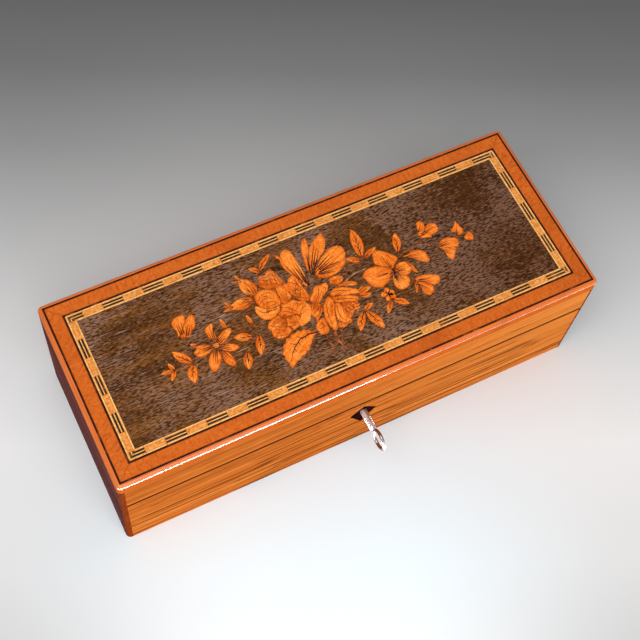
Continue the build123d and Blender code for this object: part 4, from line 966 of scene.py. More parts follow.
# Middle: the full rose on the right, three dark leaves at its edge, and pale seeds over its dark heart
cut_petals("flower_petals", 0.5, [
    ((-13.0, -10.0), 4, 0.66, 3, [
        (-4.9, 5.3), (-2.5, 6.4), (1.4, 6.2), (3.8, 6.2), (4.2, 3.9), (2.5, 1.4), (-0.7, -0.3),
        (-3.4, -2.9), (-6.9, -4.5), (-8.7, -3.2), (-10.2, -0.9), (-8.3, 2.0), (-6.3, 3.3)]),
    ((-4.0, -4.0), 5, 0.38, 5, [
        (-10.6, -2.3), (-7.4, -2.7), (-5.5, -3.6), (-4.6, -6.3), (-6.5, -10.0), (-9.0, -12.0),
        (-11.6, -14.5), (-11.6, -11.1), (-12.8, -8.7), (-11.9, -5.4)]),
    ((-8.0, -16.0), 6, 0.48, 4, [
        (-11.8, -14.4), (-8.8, -13.2), (-6.6, -13.1), (-6.9, -16.1), (-7.1, -19.7), (-8.3, -22.4),
        (-11.2, -22.9), (-13.7, -21.0), (-13.9, -18.2), (-13.3, -15.9)]),
    ((4.0, 2.0), 5, 0.4, 3, [
        (6.3, 7.3), (8.2, 8.1), (11.0, 7.9), (13.9, 6.7), (14.3, 4.8), (12.3, 2.9), (9.0, 2.8),
        (6.3, 3.4), (5.5, 4.9)]),
    ((4.0, 2.0), 6, 0.46, 2, [
        (9.2, 2.2), (13.1, 2.3), (17.1, 1.4), (20.1, -0.6), (19.5, -2.0), (16.2, -1.3), (12.1, 0.3),
        (8.8, 0.6)]),
    ((5.6, -10.4), 4, 0.04, 0, [
        (6.7, -8.5), (11.5, -9.6), (14.8, -11.6), (14.2, -15.6), (10.8, -16.7), (8.4, -18.8),
        (5.3, -20.6), (3.0, -18.5), (3.6, -13.5)]),
    ((5.0, -10.0), 6, 0.42, 2, [
        (-1.4, -19.6), (1.1, -19.5), (4.1, -20.2), (7.1, -21.4), (6.2, -22.3), (3.8, -22.1), (2.1, -23.4),
        (-0.6, -22.7), (-2.0, -21.7)]),
    ((2.0, -4.0), 7, 0.5, 2, [
        (1.5, -5.1), (2.9, -3.3), (6.3, -4.3), (11.0, -5.6), (14.9, -7.6), (16.7, -9.5), (15.5, -11.4),
        (10.8, -9.9), (6.6, -8.7), (3.4, -7.3)]),
    ((2.0, -4.0), 8, 0.66, 2, [
        (2.3, -1.2), (3.4, -0.0), (6.0, 0.9), (9.7, 0.4), (14.0, -1.7), (17.7, -4.2), (19.0, -6.2),
        (18.1, -7.5), (14.1, -6.3), (9.8, -5.2), (5.6, -3.8), (2.8, -3.6)]),
    ((2.0, -6.0), 8, 0.55, 2, [
        (-4.7, -7.6), (-3.2, -5.1), (-0.9, -2.9), (1.9, -1.5), (2.6, -4.0), (2.9, -6.3), (1.4, -10.4),
        (-0.5, -14.8), (-1.8, -18.9), (-2.5, -21.8), (-4.8, -23.3), (-6.0, -20.2), (-6.6, -16.3),
        (-6.2, -12.2)]),
    ((6.0, -8.0), 9, 0.8, 0, [
        (2.9, -7.0), (5.6, -8.6), (6.0, -11.9), (5.6, -15.5), (5.2, -18.2), (6.9, -21.4), (3.1, -21.2),
        (1.1, -19.5), (-0.4, -17.6), (0.1, -14.0), (1.3, -10.3)]),
], fold_paths)
right_rose_folds = [
    [(2.1, -2.1), (5.0, -4.0), (9.7, -5.3), (14.3, -6.9), (17.3, -7.9)],
    [(2.4, -4.4), (5.7, -6.5), (10.8, -8.0), (15.5, -10.3)],
    [(2.9, -7.3), (0.7, -11.1), (-0.7, -15.3), (-1.6, -19.0)],
    [(-1.7, -5.8), (-3.5, -10.3), (-4.5, -15.1), (-4.8, -19.7)],
    [(3.0, -9.0), (2.0, -12.8), (1.9, -16.9), (3.2, -20.1)],
    [(5.4, -9.0), (5.3, -12.6), (4.5, -16.5)],
    [(3.3, -0.6), (6.6, -0.9), (10.8, -2.3), (14.6, -4.5)],
    [(-1.7, 4.9), (-2.6, 2.1), (-4.9, -0.6), (-8.0, -1.9)],
    [(1.1, 4.7), (2.3, 3.2), (0.8, 1.1)],
    [(-8.7, -4.2), (-6.9, -4.5), (-7.0, -6.6), (-8.6, -8.0)],
    [(-5.6, -6.7), (-7.5, -9.5), (-9.9, -11.6)],
    [(-11.2, -15.2), (-9.5, -15.5), (-9.1, -17.7), (-10.8, -20.1)],
    [(-12.9, -17.6), (-11.6, -18.7), (-10.0, -18.4)],
    [(7.1, 5.9), (9.7, 5.2), (12.5, 5.0)],
    [(10.6, 2.1), (14.0, 1.1), (18.1, -0.5)],
    [(0.1, -20.3), (1.7, -21.1), (3.5, -21.3)],
]
for fold in right_rose_folds:
    engrave(fold, 0.5, fold_top, fade=False, lines=fold_paths)
for leaf in (
        ((17.4, -8.4), (26.8, -6.6), 3.6, 0.6, 3, 0.30, 0),
        ((17.4, -9.0), (25.0, -10.4), 3.0, -0.6, 2, 0.22, 0),
        ((17.6, -7.4), (22.6, -4.6), 2.2, 0.3, 1, 0.35, 0)):
    blade("bud_petals", "leaf", *leaf)
seed_count = 14
for number in range(seed_count):
    x = 6.8 + chance.uniform(0, 8.0)
    y = -11.6 - chance.uniform(0, 5.6)
    blade("flower_petals", "lobe", (x, y), (x + 1.1, y - 0.4), 0.8, 0.0, 6 + number % 3, 0.9, 0)

# Middle: the large saw-toothed leaf with its ribs, and leaves beside it
leaf_top = saw_out("spray_leaves", toothed([
    (-37.0, -34.0), (-38.0, -27.6), (-38.2, -23.4), (-35.6, -19.4), (-32.2, -16.4), (-28.4, -14.9),
    (-24.2, -14.2), (-20.4, -14.9), (-17.0, -16.6), (-13.4, -19.6), (-16.4, -21.6), (-19.8, -24.4),
    (-22.6, -27.6), (-26.6, -29.6), (-30.6, -31.0)], 0.7), 6, 0.68, (-0.8, -0.5))
middle_rib = [
    (-14.4, -19.9), (-19.3, -18.9), (-25.3, -19.9), (-30.3, -23.3), (-33.2, -26.4), (-35.6, -30.0)]
engrave(middle_rib, 0.95, leaf_top)
for start, end in (
        ((-20.0, -18.9), (-19.2, -16.4)), ((-24.0, -19.5), (-26.4, -16.9)),
        ((-28.4, -21.8), (-31.6, -19.6)), ((-21.6, -19.2), (-22.2, -22.0)),
        ((-26.6, -20.6), (-26.2, -24.4)), ((-30.6, -23.6), (-29.4, -27.4))):
    halfway = ((start[0] + end[0]) / 2 - 0.3, (start[1] + end[1]) / 2)
    engrave([start, halfway, end], 0.5, leaf_top)
for leaf in (
        ((-27.8, 28.0), (-17.4, 36.4), 3.6, 0.8, 0, 0.40, 3),
        ((-27.8, 27.6), (-32.7, 32.6), 3.2, -0.3, 0, 0.32, 2),
        ((15.6, -19.0), (8.0, -29.6), 4.8, -0.6, 1, 0.40, 4),
        ((16.4, -19.2), (21.4, -33.4), 5.8, 0.5, 1, 0.48, 4),
        ((16.0, -18.6), (22.8, -16.3), 3.2, 0.3, 1, 0.42, 2)):
    blade("spray_leaves", "leaf", *leaf)

# Right end: a flower of four broad petals, and its leaves
flower_heart = (42.7, -3.3)
cut_petals("flower_petals", 0.55, [
    (flower_heart, 1, 0.5, 2, [
        (36.7, 11.7), (38.8, 13.6), (41.6, 12.3), (44.5, 10.3), (46.6, 7.9), (49.0, 4.9), (49.1, 3.0),
        (46.1, 0.6), (43.1, -3.0), (40.4, 0.4), (37.3, 3.1), (34.6, 5.5), (35.4, 8.5)]),
    (flower_heart, 2, 0.58, 2, [
        (25.0, 1.4), (28.2, 3.9), (32.4, 4.5), (37.3, 3.1), (40.8, 1.1), (42.6, -1.8), (42.7, -4.1),
        (37.6, -7.9), (33.8, -9.9), (30.1, -9.5), (27.5, -7.0), (25.8, -3.8), (25.5, -1.3)]),
    (flower_heart, 3, 0.72, 4, [
        (43.6, -3.3), (45.6, -0.4), (48.5, 0.8), (51.5, 0.0), (53.0, -2.5), (53.5, -5.8), (51.2, -7.9),
        (48.3, -8.1), (44.8, -6.2)]),
    (flower_heart, 4, 0.85, 5, [
        (42.4, -3.2), (44.9, -6.0), (48.2, -8.2), (49.4, -11.4), (47.0, -14.6), (44.2, -15.8),
        (41.1, -15.2), (39.4, -13.0), (39.6, -10.0), (40.5, -6.8)]),
])
fan(flower_heart, 30, 90, 0.6, 6.0, 5, 0.45, 6)
fan(flower_heart, -110, -20, 0.6, 7.6, 8, 0.45, 6)
fan(flower_heart, 150, 215, 0.6, 4.0, 3, 0.40, 6)
for leaf in (
        ((30.2, 12.4), (32.9, 32.0), 7.0, -0.5, 0, 0.42, 5),
        ((29.0, 10.8), (21.4, 15.4), 4.2, 0.2, 0, 0.34, 2),
        ((31.2, 11.2), (41.0, 15.2), 3.4, 0.6, 0, 0.36, 3),
        ((51.0, 6.8), (55.4, 19.4), 5.2, -0.3, 0, 0.48, 4)):
    blade("spray_leaves", "leaf", *leaf)

# Right end: bells, a small flower and their leaves
upper_bell = (65.6, 11.0)
right_bell = (72.4, 1.0)
lower_bell = (49.6, -13.6)
cut_petals("bud_petals", 0.55, [
    (upper_bell, 1, 0.55, 1, [
        (69.8, 19.1), (71.7, 20.4), (73.5, 19.8), (74.2, 17.8), (73.7, 15.4), (71.8, 13.1), (69.7, 13.4),
        (68.8, 15.4)]),
    (upper_bell, 2, 0.6, 2, [
        (72.0, 13.5), (75.2, 16.1), (78.3, 16.4), (80.4, 14.9), (80.7, 12.3), (79.3, 9.8), (76.1, 9.3),
        (73.4, 9.6)]),
    (upper_bell, 3, 0.45, 1, [
        (68.6, 15.1), (71.2, 13.1), (73.7, 10.2), (74.5, 8.0), (71.1, 8.7), (68.3, 9.9), (67.5, 12.2)]),
    (right_bell, 1, 0.55, 3, [
        (74.5, 1.1), (77.6, 3.5), (80.9, 4.2), (84.3, 3.1), (87.3, 1.1), (87.3, -1.4), (85.4, -3.8),
        (81.1, -2.7), (77.2, -1.4)]),
    (right_bell, 2, 0.65, 3, [
        (74.9, 0.3), (77.8, -1.4), (81.6, -2.7), (84.0, -4.1), (81.8, -7.2), (78.9, -10.3), (77.2, -9.6),
        (76.5, -6.7), (76.5, -3.6), (75.2, -1.8)]),
    ((48.4, 2.4), 1, 0.6, 4, [
        (51.5, 3.8), (54.4, 3.4), (58.5, 4.4), (62.1, 3.8), (65.1, 1.9), (66.0, -1.8), (66.1, -4.6),
        (64.4, -5.7), (61.6, -4.5), (59.0, -2.0), (56.3, 0.4)]),
    (lower_bell, 2, 0.55, 3, [
        (51.4, -12.3), (54.3, -11.7), (58.5, -12.4), (62.1, -14.0), (65.1, -15.9), (65.5, -18.6),
        (63.8, -20.3), (60.2, -20.5), (58.0, -18.3), (55.4, -15.9), (52.2, -14.5)]),
    (lower_bell, 1, 0.45, 2, [
        (52.3, -14.3), (55.3, -16.1), (58.2, -19.0), (59.3, -21.6), (57.8, -24.3), (55.3, -25.4),
        (53.2, -24.1), (52.2, -21.8), (52.4, -18.2)]),
    ((88.6, 2.0), 1, 0.5, 1, [
        (92.0, 11.6), (92.8, 8.9), (93.6, 5.3), (92.3, 2.7), (89.6, 2.0), (89.3, 4.7), (86.8, 5.8),
        (87.3, 7.5), (89.7, 9.0)]),
    ((92.6, 2.0), 1, 0.5, 0, [
        (96.2, 2.3), (97.5, -0.2), (96.1, -3.5), (92.9, -2.4), (91.5, -0.8), (93.0, 0.8)]),
])
blade("bud_petals", "leaf", (52.6, 0.6), (55.6, -10.2), 2.6, -0.4, 1, 0.35, 0)
blade("bud_petals", "leaf", (51.8, -13.4), (48.4, -21.4), 1.8, 0.3, 0, 0.35, 0)
small_heart = (33.2, -14.8)
for tip, width in (
        ((29.0, -14.0), 3.4), ((37.0, -15.0), 3.6), ((33.8, -11.0), 3.4), ((31.2, -18.8), 3.0),
        ((36.2, -18.6), 3.0)):
    blade("flower_petals", "lobe", small_heart, tip, width, 0.1, 1, 0.5, 0)
fan(small_heart, 0, 300, 0.3, 2.2, 5, 0.36, 2)
blade("spray_leaves", "leaf", (34.0, -19.2), (41.6, -25.4), 4.4, 0.4, 0, 0.48, 3)
blade("spray_leaves", "leaf", (33.4, -19.4), (27.4, -26.2), 3.2, -0.5, 0, 0.38, 2)

petal_wood, tree, shader = new_finish("sand_shaded_satinwood", {
    "Roughness": 0.32, "Specular IOR Level": 0.12})
grain_map = add_node(tree, "ShaderNodeUVMap", uv_map="grain")
tone = add_node(tree, "ShaderNodeAttribute", result="Fac", attribute_name="tone")
foot = add_node(tree, "ShaderNodeAttribute", result="Fac", attribute_name="foot")
rim_part = add_node(tree, "ShaderNodeAttribute", result="Fac", attribute_name="rim")
side_part = add_node(tree, "ShaderNodeAttribute", result="Fac", attribute_name="side")
streak = grain_streaks(tree, grain_map, 9, 0.75, 71.0, waver=0.5)
tone_shift = add_node(tree, "ShaderNodeMapRange", {"Value": tone, "To Min": -0.20, "To Max": 0.20})
streak_tone = add_node(tree, "ShaderNodeMath", {0: streak, 1: tone_shift}, operation="ADD")
colour = add_node(tree, "ShaderNodeValToRGB", {"Fac": streak_tone}, "Color", stops=[
    (0.24, "#AF4409"), (0.38, "#D65E0D"), (0.50, "#EF7115"), (0.62, "#FF8729"), (0.76, "#FF9C3E"),
    (0.90, "#FFB862")])
flecks = clouds(tree, grain_map, 1.1, 73.0, detail=3.0)
colour = stain(tree, colour, flecks, 0.52, 0.66, 0.45, "#B04A0C")
colour = stain(tree, colour, flecks, 0.46, 0.34, 0.40, "#FFA858")
patchy = clouds(tree, grain_map, 2.6, 72.0)
foot_shade = add_node(tree, "ShaderNodeMath", {0: foot, 1: 2.2}, operation="POWER")
rim_shade = add_node(tree, "ShaderNodeMath", {0: rim_part, 1: 1.6}, operation="POWER")
side_shade = add_node(tree, "ShaderNodeMapRange", {
    "Value": side_part, "From Min": 0.25, "From Max": 1.0, "To Max": 0.30})
shade = add_node(tree, "ShaderNodeMath", {0: foot_shade, 1: 0.55, 2: side_shade}, operation="MULTIPLY_ADD")
shade = add_node(tree, "ShaderNodeMath", {0: rim_shade, 1: 0.70, 2: shade}, operation="MULTIPLY_ADD")
patch_shift = add_node(tree, "ShaderNodeMapRange", {
    "Value": patchy, "From Min": 0.35, "From Max": 0.65, "To Min": -0.22, "To Max": 0.22})
shade = add_node(tree, "ShaderNodeMath", {0: shade, 1: patch_shift}, operation="ADD")
colour = stain(tree, colour, shade, 0.10, -0.16, 0.55, "#FFA850")
colour = stain(tree, colour, shade, 0.22, 0.95, 0.72, "#9C3804")
colour = stain(tree, colour, shade, 0.66, 1.10, 0.75, "#4A1805")
finish_off(tree, shader, colour, streak, 0.03)

replaced_nodes = {
    "flower_petals": "flower_inlays", "bud_petals": "bud_inlays", "spray_leaves": "leaf_inlays"}
for sheet_name, sheet in sheets.items():
    inlay = mesh_piece(sheet_name, sheet["points"], sheet["faces"], petal_wood)
    for mark in ("foot", "rim", "side", "tone"):
        layer = inlay.data.attributes.new(mark, "FLOAT", "POINT")
        layer.data.foreach_set("value", sheet[mark])
    grain_layer = inlay.data.uv_layers.new(name="grain")
    for loop in inlay.data.loops:
        u, v = sheet["grain"][loop.vertex_index]
        grain_layer.data[loop.index].uv = (u * mm, v * mm)
    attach(inlay, "lid")
    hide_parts(replaced_nodes[sheet_name])


# Stems, tendrils, veins and folds: lines swept at their own width and let in flush, thinning to their ends.
# Brown stems are satinwood and pale ones holly, both bent to shape from thin stringing.
# The veins are graver cuts filled with black wax, and the folds of the roses are scorched lines.
def made_plain(source, name, body):
    """Keeps what a modifier makes of an object as a plain mesh that rides on a body."""
    bpy.context.view_layer.update()
    result = source.evaluated_get(bpy.context.evaluated_depsgraph_get())
    mesh = bpy.data.meshes.new_from_object(result)
    mesh.name = name
    made = bpy.data.objects.new(name, mesh)
    bpy.context.scene.collection.objects.link(made)
    bpy.data.objects.remove(source)
    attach(made, body)
    return made


def swept_lines(name, lines, finish, depth, body):
    """Sweeps flat strips along paths of (x, y, height, width) places by a Geometry Nodes tree."""
    data = bpy.data.curves.new(name, "CURVE")
    data.dimensions = "3D"
    for line in lines:
        spline = data.splines.new("POLY")
        spline.points.add(len(line) - 1)
        for point, (x, y, height, width) in zip(spline.points, line):
            point.co = (x * mm, y * mm, height * mm, 1)
            point.radius = width
    path = bpy.data.objects.new(name + "_paths", data)
    bpy.context.scene.collection.objects.link(path)
    sweep = bpy.data.node_groups.new(name + "_sweep", "GeometryNodeTree")
    sweep.interface.new_socket("Geometry", in_out="INPUT", socket_type="NodeSocketGeometry")
    thick = sweep.interface.new_socket("Line depth", in_out="INPUT", socket_type="NodeSocketFloat")
    material = sweep.interface.new_socket("Finish", in_out="INPUT", socket_type="NodeSocketMaterial")
    sweep.interface.new_socket("Geometry", in_out="OUTPUT", socket_type="NodeSocketGeometry")
    entry = sweep.nodes.new("NodeGroupInput")
    leave = sweep.nodes.new("NodeGroupOutput")
    radius = add_node(sweep, "GeometryNodeInputRadius")
    section = add_node(sweep, "GeometryNodeCurvePrimitiveQuadrilateral", {
        "Width": 1 * mm, "Height": entry.outputs["Line depth"]})
    half_depth = add_node(sweep, "ShaderNodeMath", {
        0: entry.outputs["Line depth"], 1: 0.5}, operation="MULTIPLY")
    drop = add_node(sweep, "ShaderNodeCombineXYZ", {"Y": half_depth})
    sunk = add_node(sweep, "GeometryNodeTransform", {"Geometry": section, "Translation": drop})
    upright = add_node(sweep, "GeometryNodeSetCurveNormal", {"Curve": entry.outputs["Geometry"]})
    strips = add_node(sweep, "GeometryNodeCurveToMesh", {
        "Curve": upright, "Profile Curve": sunk, "Scale": radius, "Fill Caps": True})
    real = add_node(sweep, "GeometryNodeRealizeInstances", {"Geometry": strips})
    dressed = add_node(sweep, "GeometryNodeSetMaterial", {
        "Geometry": real, "Material": entry.outputs["Finish"]})
    sweep.links.new(dressed, leave.inputs[0])
    modifier = path.modifiers.new("sweep", "NODES")
    modifier.node_group = sweep
    modifier[thick.identifier] = depth * mm
    modifier[material.identifier] = finish
    return made_plain(path, name, body)


def stem(places, width, taper=0.5, level=0, cuts=8):
    """A stem through its few places, smoothed, thinning from its root to its tip."""
    line = []
    count = len(places)
    for i in range(count - 1):
        four = [Vector(places[min(max(i + k, 0), count - 1)]) for k in (-1, 0, 1, 2)]
        line += [smooth_place(*four, step / cuts) for step in range(cuts)]
    line.append(Vector(places[-1]))
    top = ground_top + lay_step * (0.5 + level)
    last = len(line) - 1
    return [(x, y, top, width * (1 - taper * i / last)) for i, (x, y) in enumerate(line)]


brown_stems = [
    stem([(-82.6, -8.2), (-88.0, -8.8), (-91.0, -9.0), (-96.5, -7.9)], 1.0),
    stem([(-61.5, 0.8), (-57.8, 0.4), (-50.0, 0.2), (-45.0, -1.5), (-38.5, -5.7)], 1.0, 0.3),
    stem([(-64.0, -4.4), (-56.0, -2.8), (-50.0, -0.6)], 0.9, 0.3),
    stem([(-48.0, -1.0), (-46.6, -4.2), (-45.2, -8.2)], 0.8, 0.3),
    stem([(-45.2, -8.0), (-50.0, -10.4), (-55.6, -15.0)], 0.7, 0.4),
    stem([(-27.9, 28.2), (-30.0, 24.4), (-29.6, 21.0)], 1.0, 0.3),
    stem([(-18.0, 35.8), (-16.4, 34.4), (-14.4, 34.0), (-13.0, 32.4)], 0.7, 0.4),
    stem([(-5.2, -23.6), (-6.0, -26.4), (-5.6, -30.0), (-3.2, -36.6)], 2.1, 0.45),
    stem([(-10.4, -24.0), (-10.6, -28.8), (-10.2, -31.6), (-10.9, -35.0)], 1.2, 0.4),
    stem([(-9.6, -24.2), (-7.6, -28.0), (-6.4, -29.6)], 0.8, 0.5),
    stem([(-1.6, -23.8), (-2.8, -27.6), (-4.2, -30.4)], 1.4, 0.6),
    stem([(12.4, -15.6), (14.4, -17.6), (15.6, -19.0)], 0.9, 0.2),
    stem([(16.2, 5.6), (22.0, 10.6), (28.2, 9.8), (31.0, 11.8)], 0.7, 0.2),
    stem([(47.0, 1.2), (51.0, 4.6), (61.7, 6.8), (68.6, 9.2)], 0.9, 0.3),
    stem([(64.0, 7.2), (69.0, 4.8), (74.8, 1.6)], 0.8, 0.3),
    stem([(51.0, 4.6), (51.4, 6.0), (51.0, 7.4)], 0.8, 0.2),
    stem([(85.4, 0.8), (88.0, 2.6), (93.3, 4.8), (97.8, 6.4), (102.0, 5.6)], 0.9, 0.6),
    stem([(48.2, -14.6), (50.0, -13.6), (51.8, -13.4)], 0.9, 0.2),
    stem([(33.4, -15.2), (33.6, -17.4), (33.8, -19.6)], 0.8, 0.2),
]
pale_stems = [
    stem([(14.6, 2.4), (18.4, 4.0), (23.0, 5.0), (29.6, 5.2)], 1.1, 0.3, 9),
    stem([(-37.8, 29.2), (-38.2, 31.6), (-36.4, 33.4), (-34.8, 33.8)], 0.45, 0.2),
    stem([(-31.4, 22.9), (-28.2, 23.6), (-24.4, 22.8), (-20.0, 21.6), (-18.4, 17.4)], 0.8, 0.3, 5),
]

line_finishes = []
for name, roughness, specular, size, seed, stops in (
        ("let_in_stem_satinwood", 0.30, 0.3, 3.5, 81.0,
         [(0.32, "#4E200A"), (0.46, "#7E3C10"), (0.58, "#A8541A"), (0.74, "#C97230")]),
        ("let_in_stem_holly", 0.28, 0.35, 2.2, 82.0,
         [(0.30, "#6A3A20"), (0.44, "#94603E"), (0.58, "#B88262"), (0.74, "#CC9C80")]),
        ("black_wax_in_graver_cuts", 0.45, 0.2, 1.6, 83.0,
         [(0.36, "#2A0E05"), (0.52, "#4A1E0A"), (0.68, "#7A3410")]),
        ("sand_scorched_fold_lines", 0.38, 0.1, 1.4, 84.0,
         [(0.34, "#842E06"), (0.52, "#AC480C"), (0.70, "#D06818")])):
    finish, tree, shader = new_finish(name, {"Roughness": roughness, "Specular IOR Level": specular})
    place = add_node(tree, "ShaderNodeTexCoord", result="Object")
    mottling = clouds(tree, place, size, seed)
    colour = add_node(tree, "ShaderNodeValToRGB", {"Fac": mottling}, "Color", stops=stops)
    finish_off(tree, shader, colour)
    line_finishes.append(finish)
stem_wood, pale_wood, black_wax, fold_scorch = line_finishes

stems = swept_lines("spray_stems", brown_stems, stem_wood, 0.5, "lid")
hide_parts("stem_inlays")
pale_lines = swept_lines("pale_stems", pale_stems, pale_wood, 0.5, "lid")
veins = swept_lines("engraved_veins", vein_paths, black_wax, 0.2, "lid")
folds = swept_lines("scorched_folds", fold_paths, fold_scorch, 0.2, "lid")


# Escutcheon: a kite of ebonised pear wood let in flush with the front round the keyhole.
# Dyed black and polished over, it is rubbed maroon where keys have scraped it.
ebonised_plate, tree, shader = new_finish("ebonised_pear_escutcheon", {
    "Roughness": 0.40, "Specular IOR Level": 0.0, "Coat Weight": 0.01, "Coat Roughness": 0.08})
place = add_node(tree, "ShaderNodeTexCoord", result="Object")
scrapes = grain_streaks(tree, place, 14, 1.2, 91.0, detail=3.0)
colour = add_node(tree, "ShaderNodeValToRGB", {"Fac": scrapes}, "Color", stops=[
    (0.34, "#140507"), (0.52, "#240A0D"), (0.66, "#3E1516"), (0.80, "#5E2C28")])
finish_off(tree, shader, colour, scrapes, -0.03)
give_finish(ebonised_plate, "escutcheon")


# Hinges and lock plates: a pair of butt hinges, the plate of the box lock and the link plate in the lid.
# Filed up from sheet brass, never lacquered, gone dull and brown with fine file marks along their length.
old_brass, tree, shader = new_finish("old_sheet_brass", {"Metallic": 1.0, "Roughness": 0.34})
place = add_node(tree, "ShaderNodeTexCoord", result="Object")
tarnish = clouds(tree, place, 9, 101.0, detail=4.0)
colour = add_node(tree, "ShaderNodeValToRGB", {"Fac": tarnish}, "Color", stops=[
    (0.30, "#7A5526"), (0.46, "#A27C3C"), (0.60, "#C09A52"), (0.78, "#D2B06A")])
spots = clouds(tree, place, 2.2, 102.0)
colour = stain(tree, colour, spots, 0.62, 0.74, 0.6, "#4E3216")
file_marks = grain_streaks(tree, place, 12, 0.25, 103.0)
dulled = add_node(tree, "ShaderNodeMapRange", {"Value": tarnish, "To Min": 0.46, "To Max": 0.26})
tree.links.new(dulled, shader.inputs["Roughness"])
finish_off(tree, shader, colour, file_marks, 0.02)
give_finish(old_brass, "base_hinge_leaves", "lid_hinge_leaves", "hinge_pins", "lock_plate", "link_plate")


# Lock: the case, hook bolt, ward, drill pin and spring, which lie unseen in the front board.
# Wrought iron and spring steel, filed and left black, with brown rust in the corners.
lock_iron, tree, shader = new_finish("filed_lock_iron", {"Metallic": 1.0, "Roughness": 0.48})
place = add_node(tree, "ShaderNodeTexCoord", result="Object")
black_scale = clouds(tree, place, 5, 111.0, detail=4.0)
colour = add_node(tree, "ShaderNodeValToRGB", {"Fac": black_scale}, "Color", stops=[
    (0.32, "#3A3431"), (0.50, "#5E5650"), (0.66, "#7C736C"), (0.82, "#938A82")])
rust = clouds(tree, place, 3, 112.0, detail=3.0)
colour = stain(tree, colour, rust, 0.58, 0.72, 0.6, "#6A3A20")
finish_off(tree, shader, colour, black_scale, 0.03)
give_finish(lock_iron, "lock_case", "lock_bolt", "lock_ward", "drill_pin", "lock_spring")


# Screws: countersunk brass wood screws, ten along the hinges and link plate, four through the lock plate.
# Turned with a slotted head and driven by hand, so that no two slots point the same way.
head_radius = 1.6
head_height = 0.95
shank_radius = 0.8
screw_length = 7.5
screw_point = 1.4
point_radius = 0.1
slot_half = 0.22
slot_depth = 0.3
rim_steps = 8
screw_crease_angle = radians(35)


def angles_beside_slot(radius):
    """Angles round a circle of this radius, on both sides of the slot across it."""
    edge = atan2(slot_half, (radius**2 - slot_half**2) ** 0.5)
    return [half_turn + edge + (pi - 2 * edge) * i / rim_steps
            for half_turn in (0, pi) for i in range(rim_steps + 1)]


slope = (head_radius - shank_radius) / head_height
floor_radius = head_radius - slope * slot_depth
rim_angles = angles_beside_slot(head_radius)
floor_angles = angles_beside_slot(floor_radius)
around = len(rim_angles)
half_around = around // 2
screw_points = [(head_radius * cos(a), head_radius * sin(a), 0.0) for a in rim_angles]
screw_points += [(floor_radius * cos(a), floor_radius * sin(a), -slot_depth) for a in floor_angles]
lower_rings = (
    (shank_radius, -head_height), (shank_radius, screw_point - screw_length), (point_radius, -screw_length))
for radius, height in lower_rings:
    screw_points += [(radius * cos(a), radius * sin(a), height) for a in floor_angles]
screw_faces = [tuple(range(half_around)), tuple(range(half_around, around))]
screw_faces.append((0, half_around - 1, around + half_around - 1, around))
screw_faces.append((half_around, around - 1, 2 * around - 1, around + half_around))
screw_faces.append((around, around + half_around - 1, around + half_around, 2 * around - 1))
for i in range(around):
    j = (i + 1) % around
    if j not in (0, half_around):
        screw_faces.append((i, around + i, around + j, j))
    for ring in range(1, 4):
        here, below = ring * around, (ring + 1) * around
        screw_faces.append((here + i, below + i, below + j, here + j))
screw_faces.append(tuple(4 * around + i for i in reversed(range(around))))


def point_outwards(piece):
    """Turns the faces of closed shells outwards."""
    shell = bmesh.new()
    shell.from_mesh(piece.data)
    bmesh.ops.recalc_face_normals(shell, faces=shell.faces)
    shell.to_mesh(piece.data)
    shell.free()
    piece.data.set_sharp_from_angle(angle=screw_crease_angle)


one_screw = mesh_piece("one_screw", screw_points, screw_faces, smooth=True)
point_outwards(one_screw)

screw_tree = bpy.data.node_groups.new("screws_at_their_holes", "GeometryNodeTree")
screw_tree.interface.new_socket("Geometry", in_out="INPUT", socket_type="NodeSocketGeometry")
shape_input = screw_tree.interface.new_socket("Screw", in_out="INPUT", socket_type="NodeSocketObject")
turn_input = screw_tree.interface.new_socket("Most turn", in_out="INPUT", socket_type="NodeSocketFloat")
finish_input = screw_tree.interface.new_socket("Finish", in_out="INPUT", socket_type="NodeSocketMaterial")
screw_tree.interface.new_socket("Geometry", in_out="OUTPUT", socket_type="NodeSocketGeometry")
entry = screw_tree.nodes.new("NodeGroupInput")
leave = screw_tree.nodes.new("NodeGroupOutput")
shape = add_node(screw_tree, "GeometryNodeObjectInfo", {"Object": entry.outputs["Screw"]}, "Geometry")
head_way = add_node(screw_tree, "GeometryNodeInputNamedAttribute", data_type="FLOAT_VECTOR")
head_way.node.inputs["Name"].default_value = "head_way"
upright = add_node(screw_tree, "FunctionNodeAlignRotationToVector", {"Vector": head_way}, axis="Z")
slot_turn = add_node(screw_tree, "FunctionNodeRandomValue", {
    "Min": 0.0, "Max": entry.outputs["Most turn"], "Seed": 7}, data_type="FLOAT")
driven = add_node(screw_tree, "FunctionNodeAxisAngleToRotation", {"Axis": (0, 0, 1), "Angle": slot_turn})
seated = add_node(screw_tree, "FunctionNodeRotateRotation", {
    "Rotation": upright, "Rotate By": driven}, rotation_space="LOCAL")
copies = add_node(screw_tree, "GeometryNodeInstanceOnPoints", {
    "Points": entry.outputs["Geometry"], "Instance": shape, "Rotation": seated})
real = add_node(screw_tree, "GeometryNodeRealizeInstances", {"Geometry": copies})
dressed = add_node(screw_tree, "GeometryNodeSetMaterial", {
    "Geometry": real, "Material": entry.outputs["Finish"]})
screw_tree.links.new(dressed, leave.inputs[0])


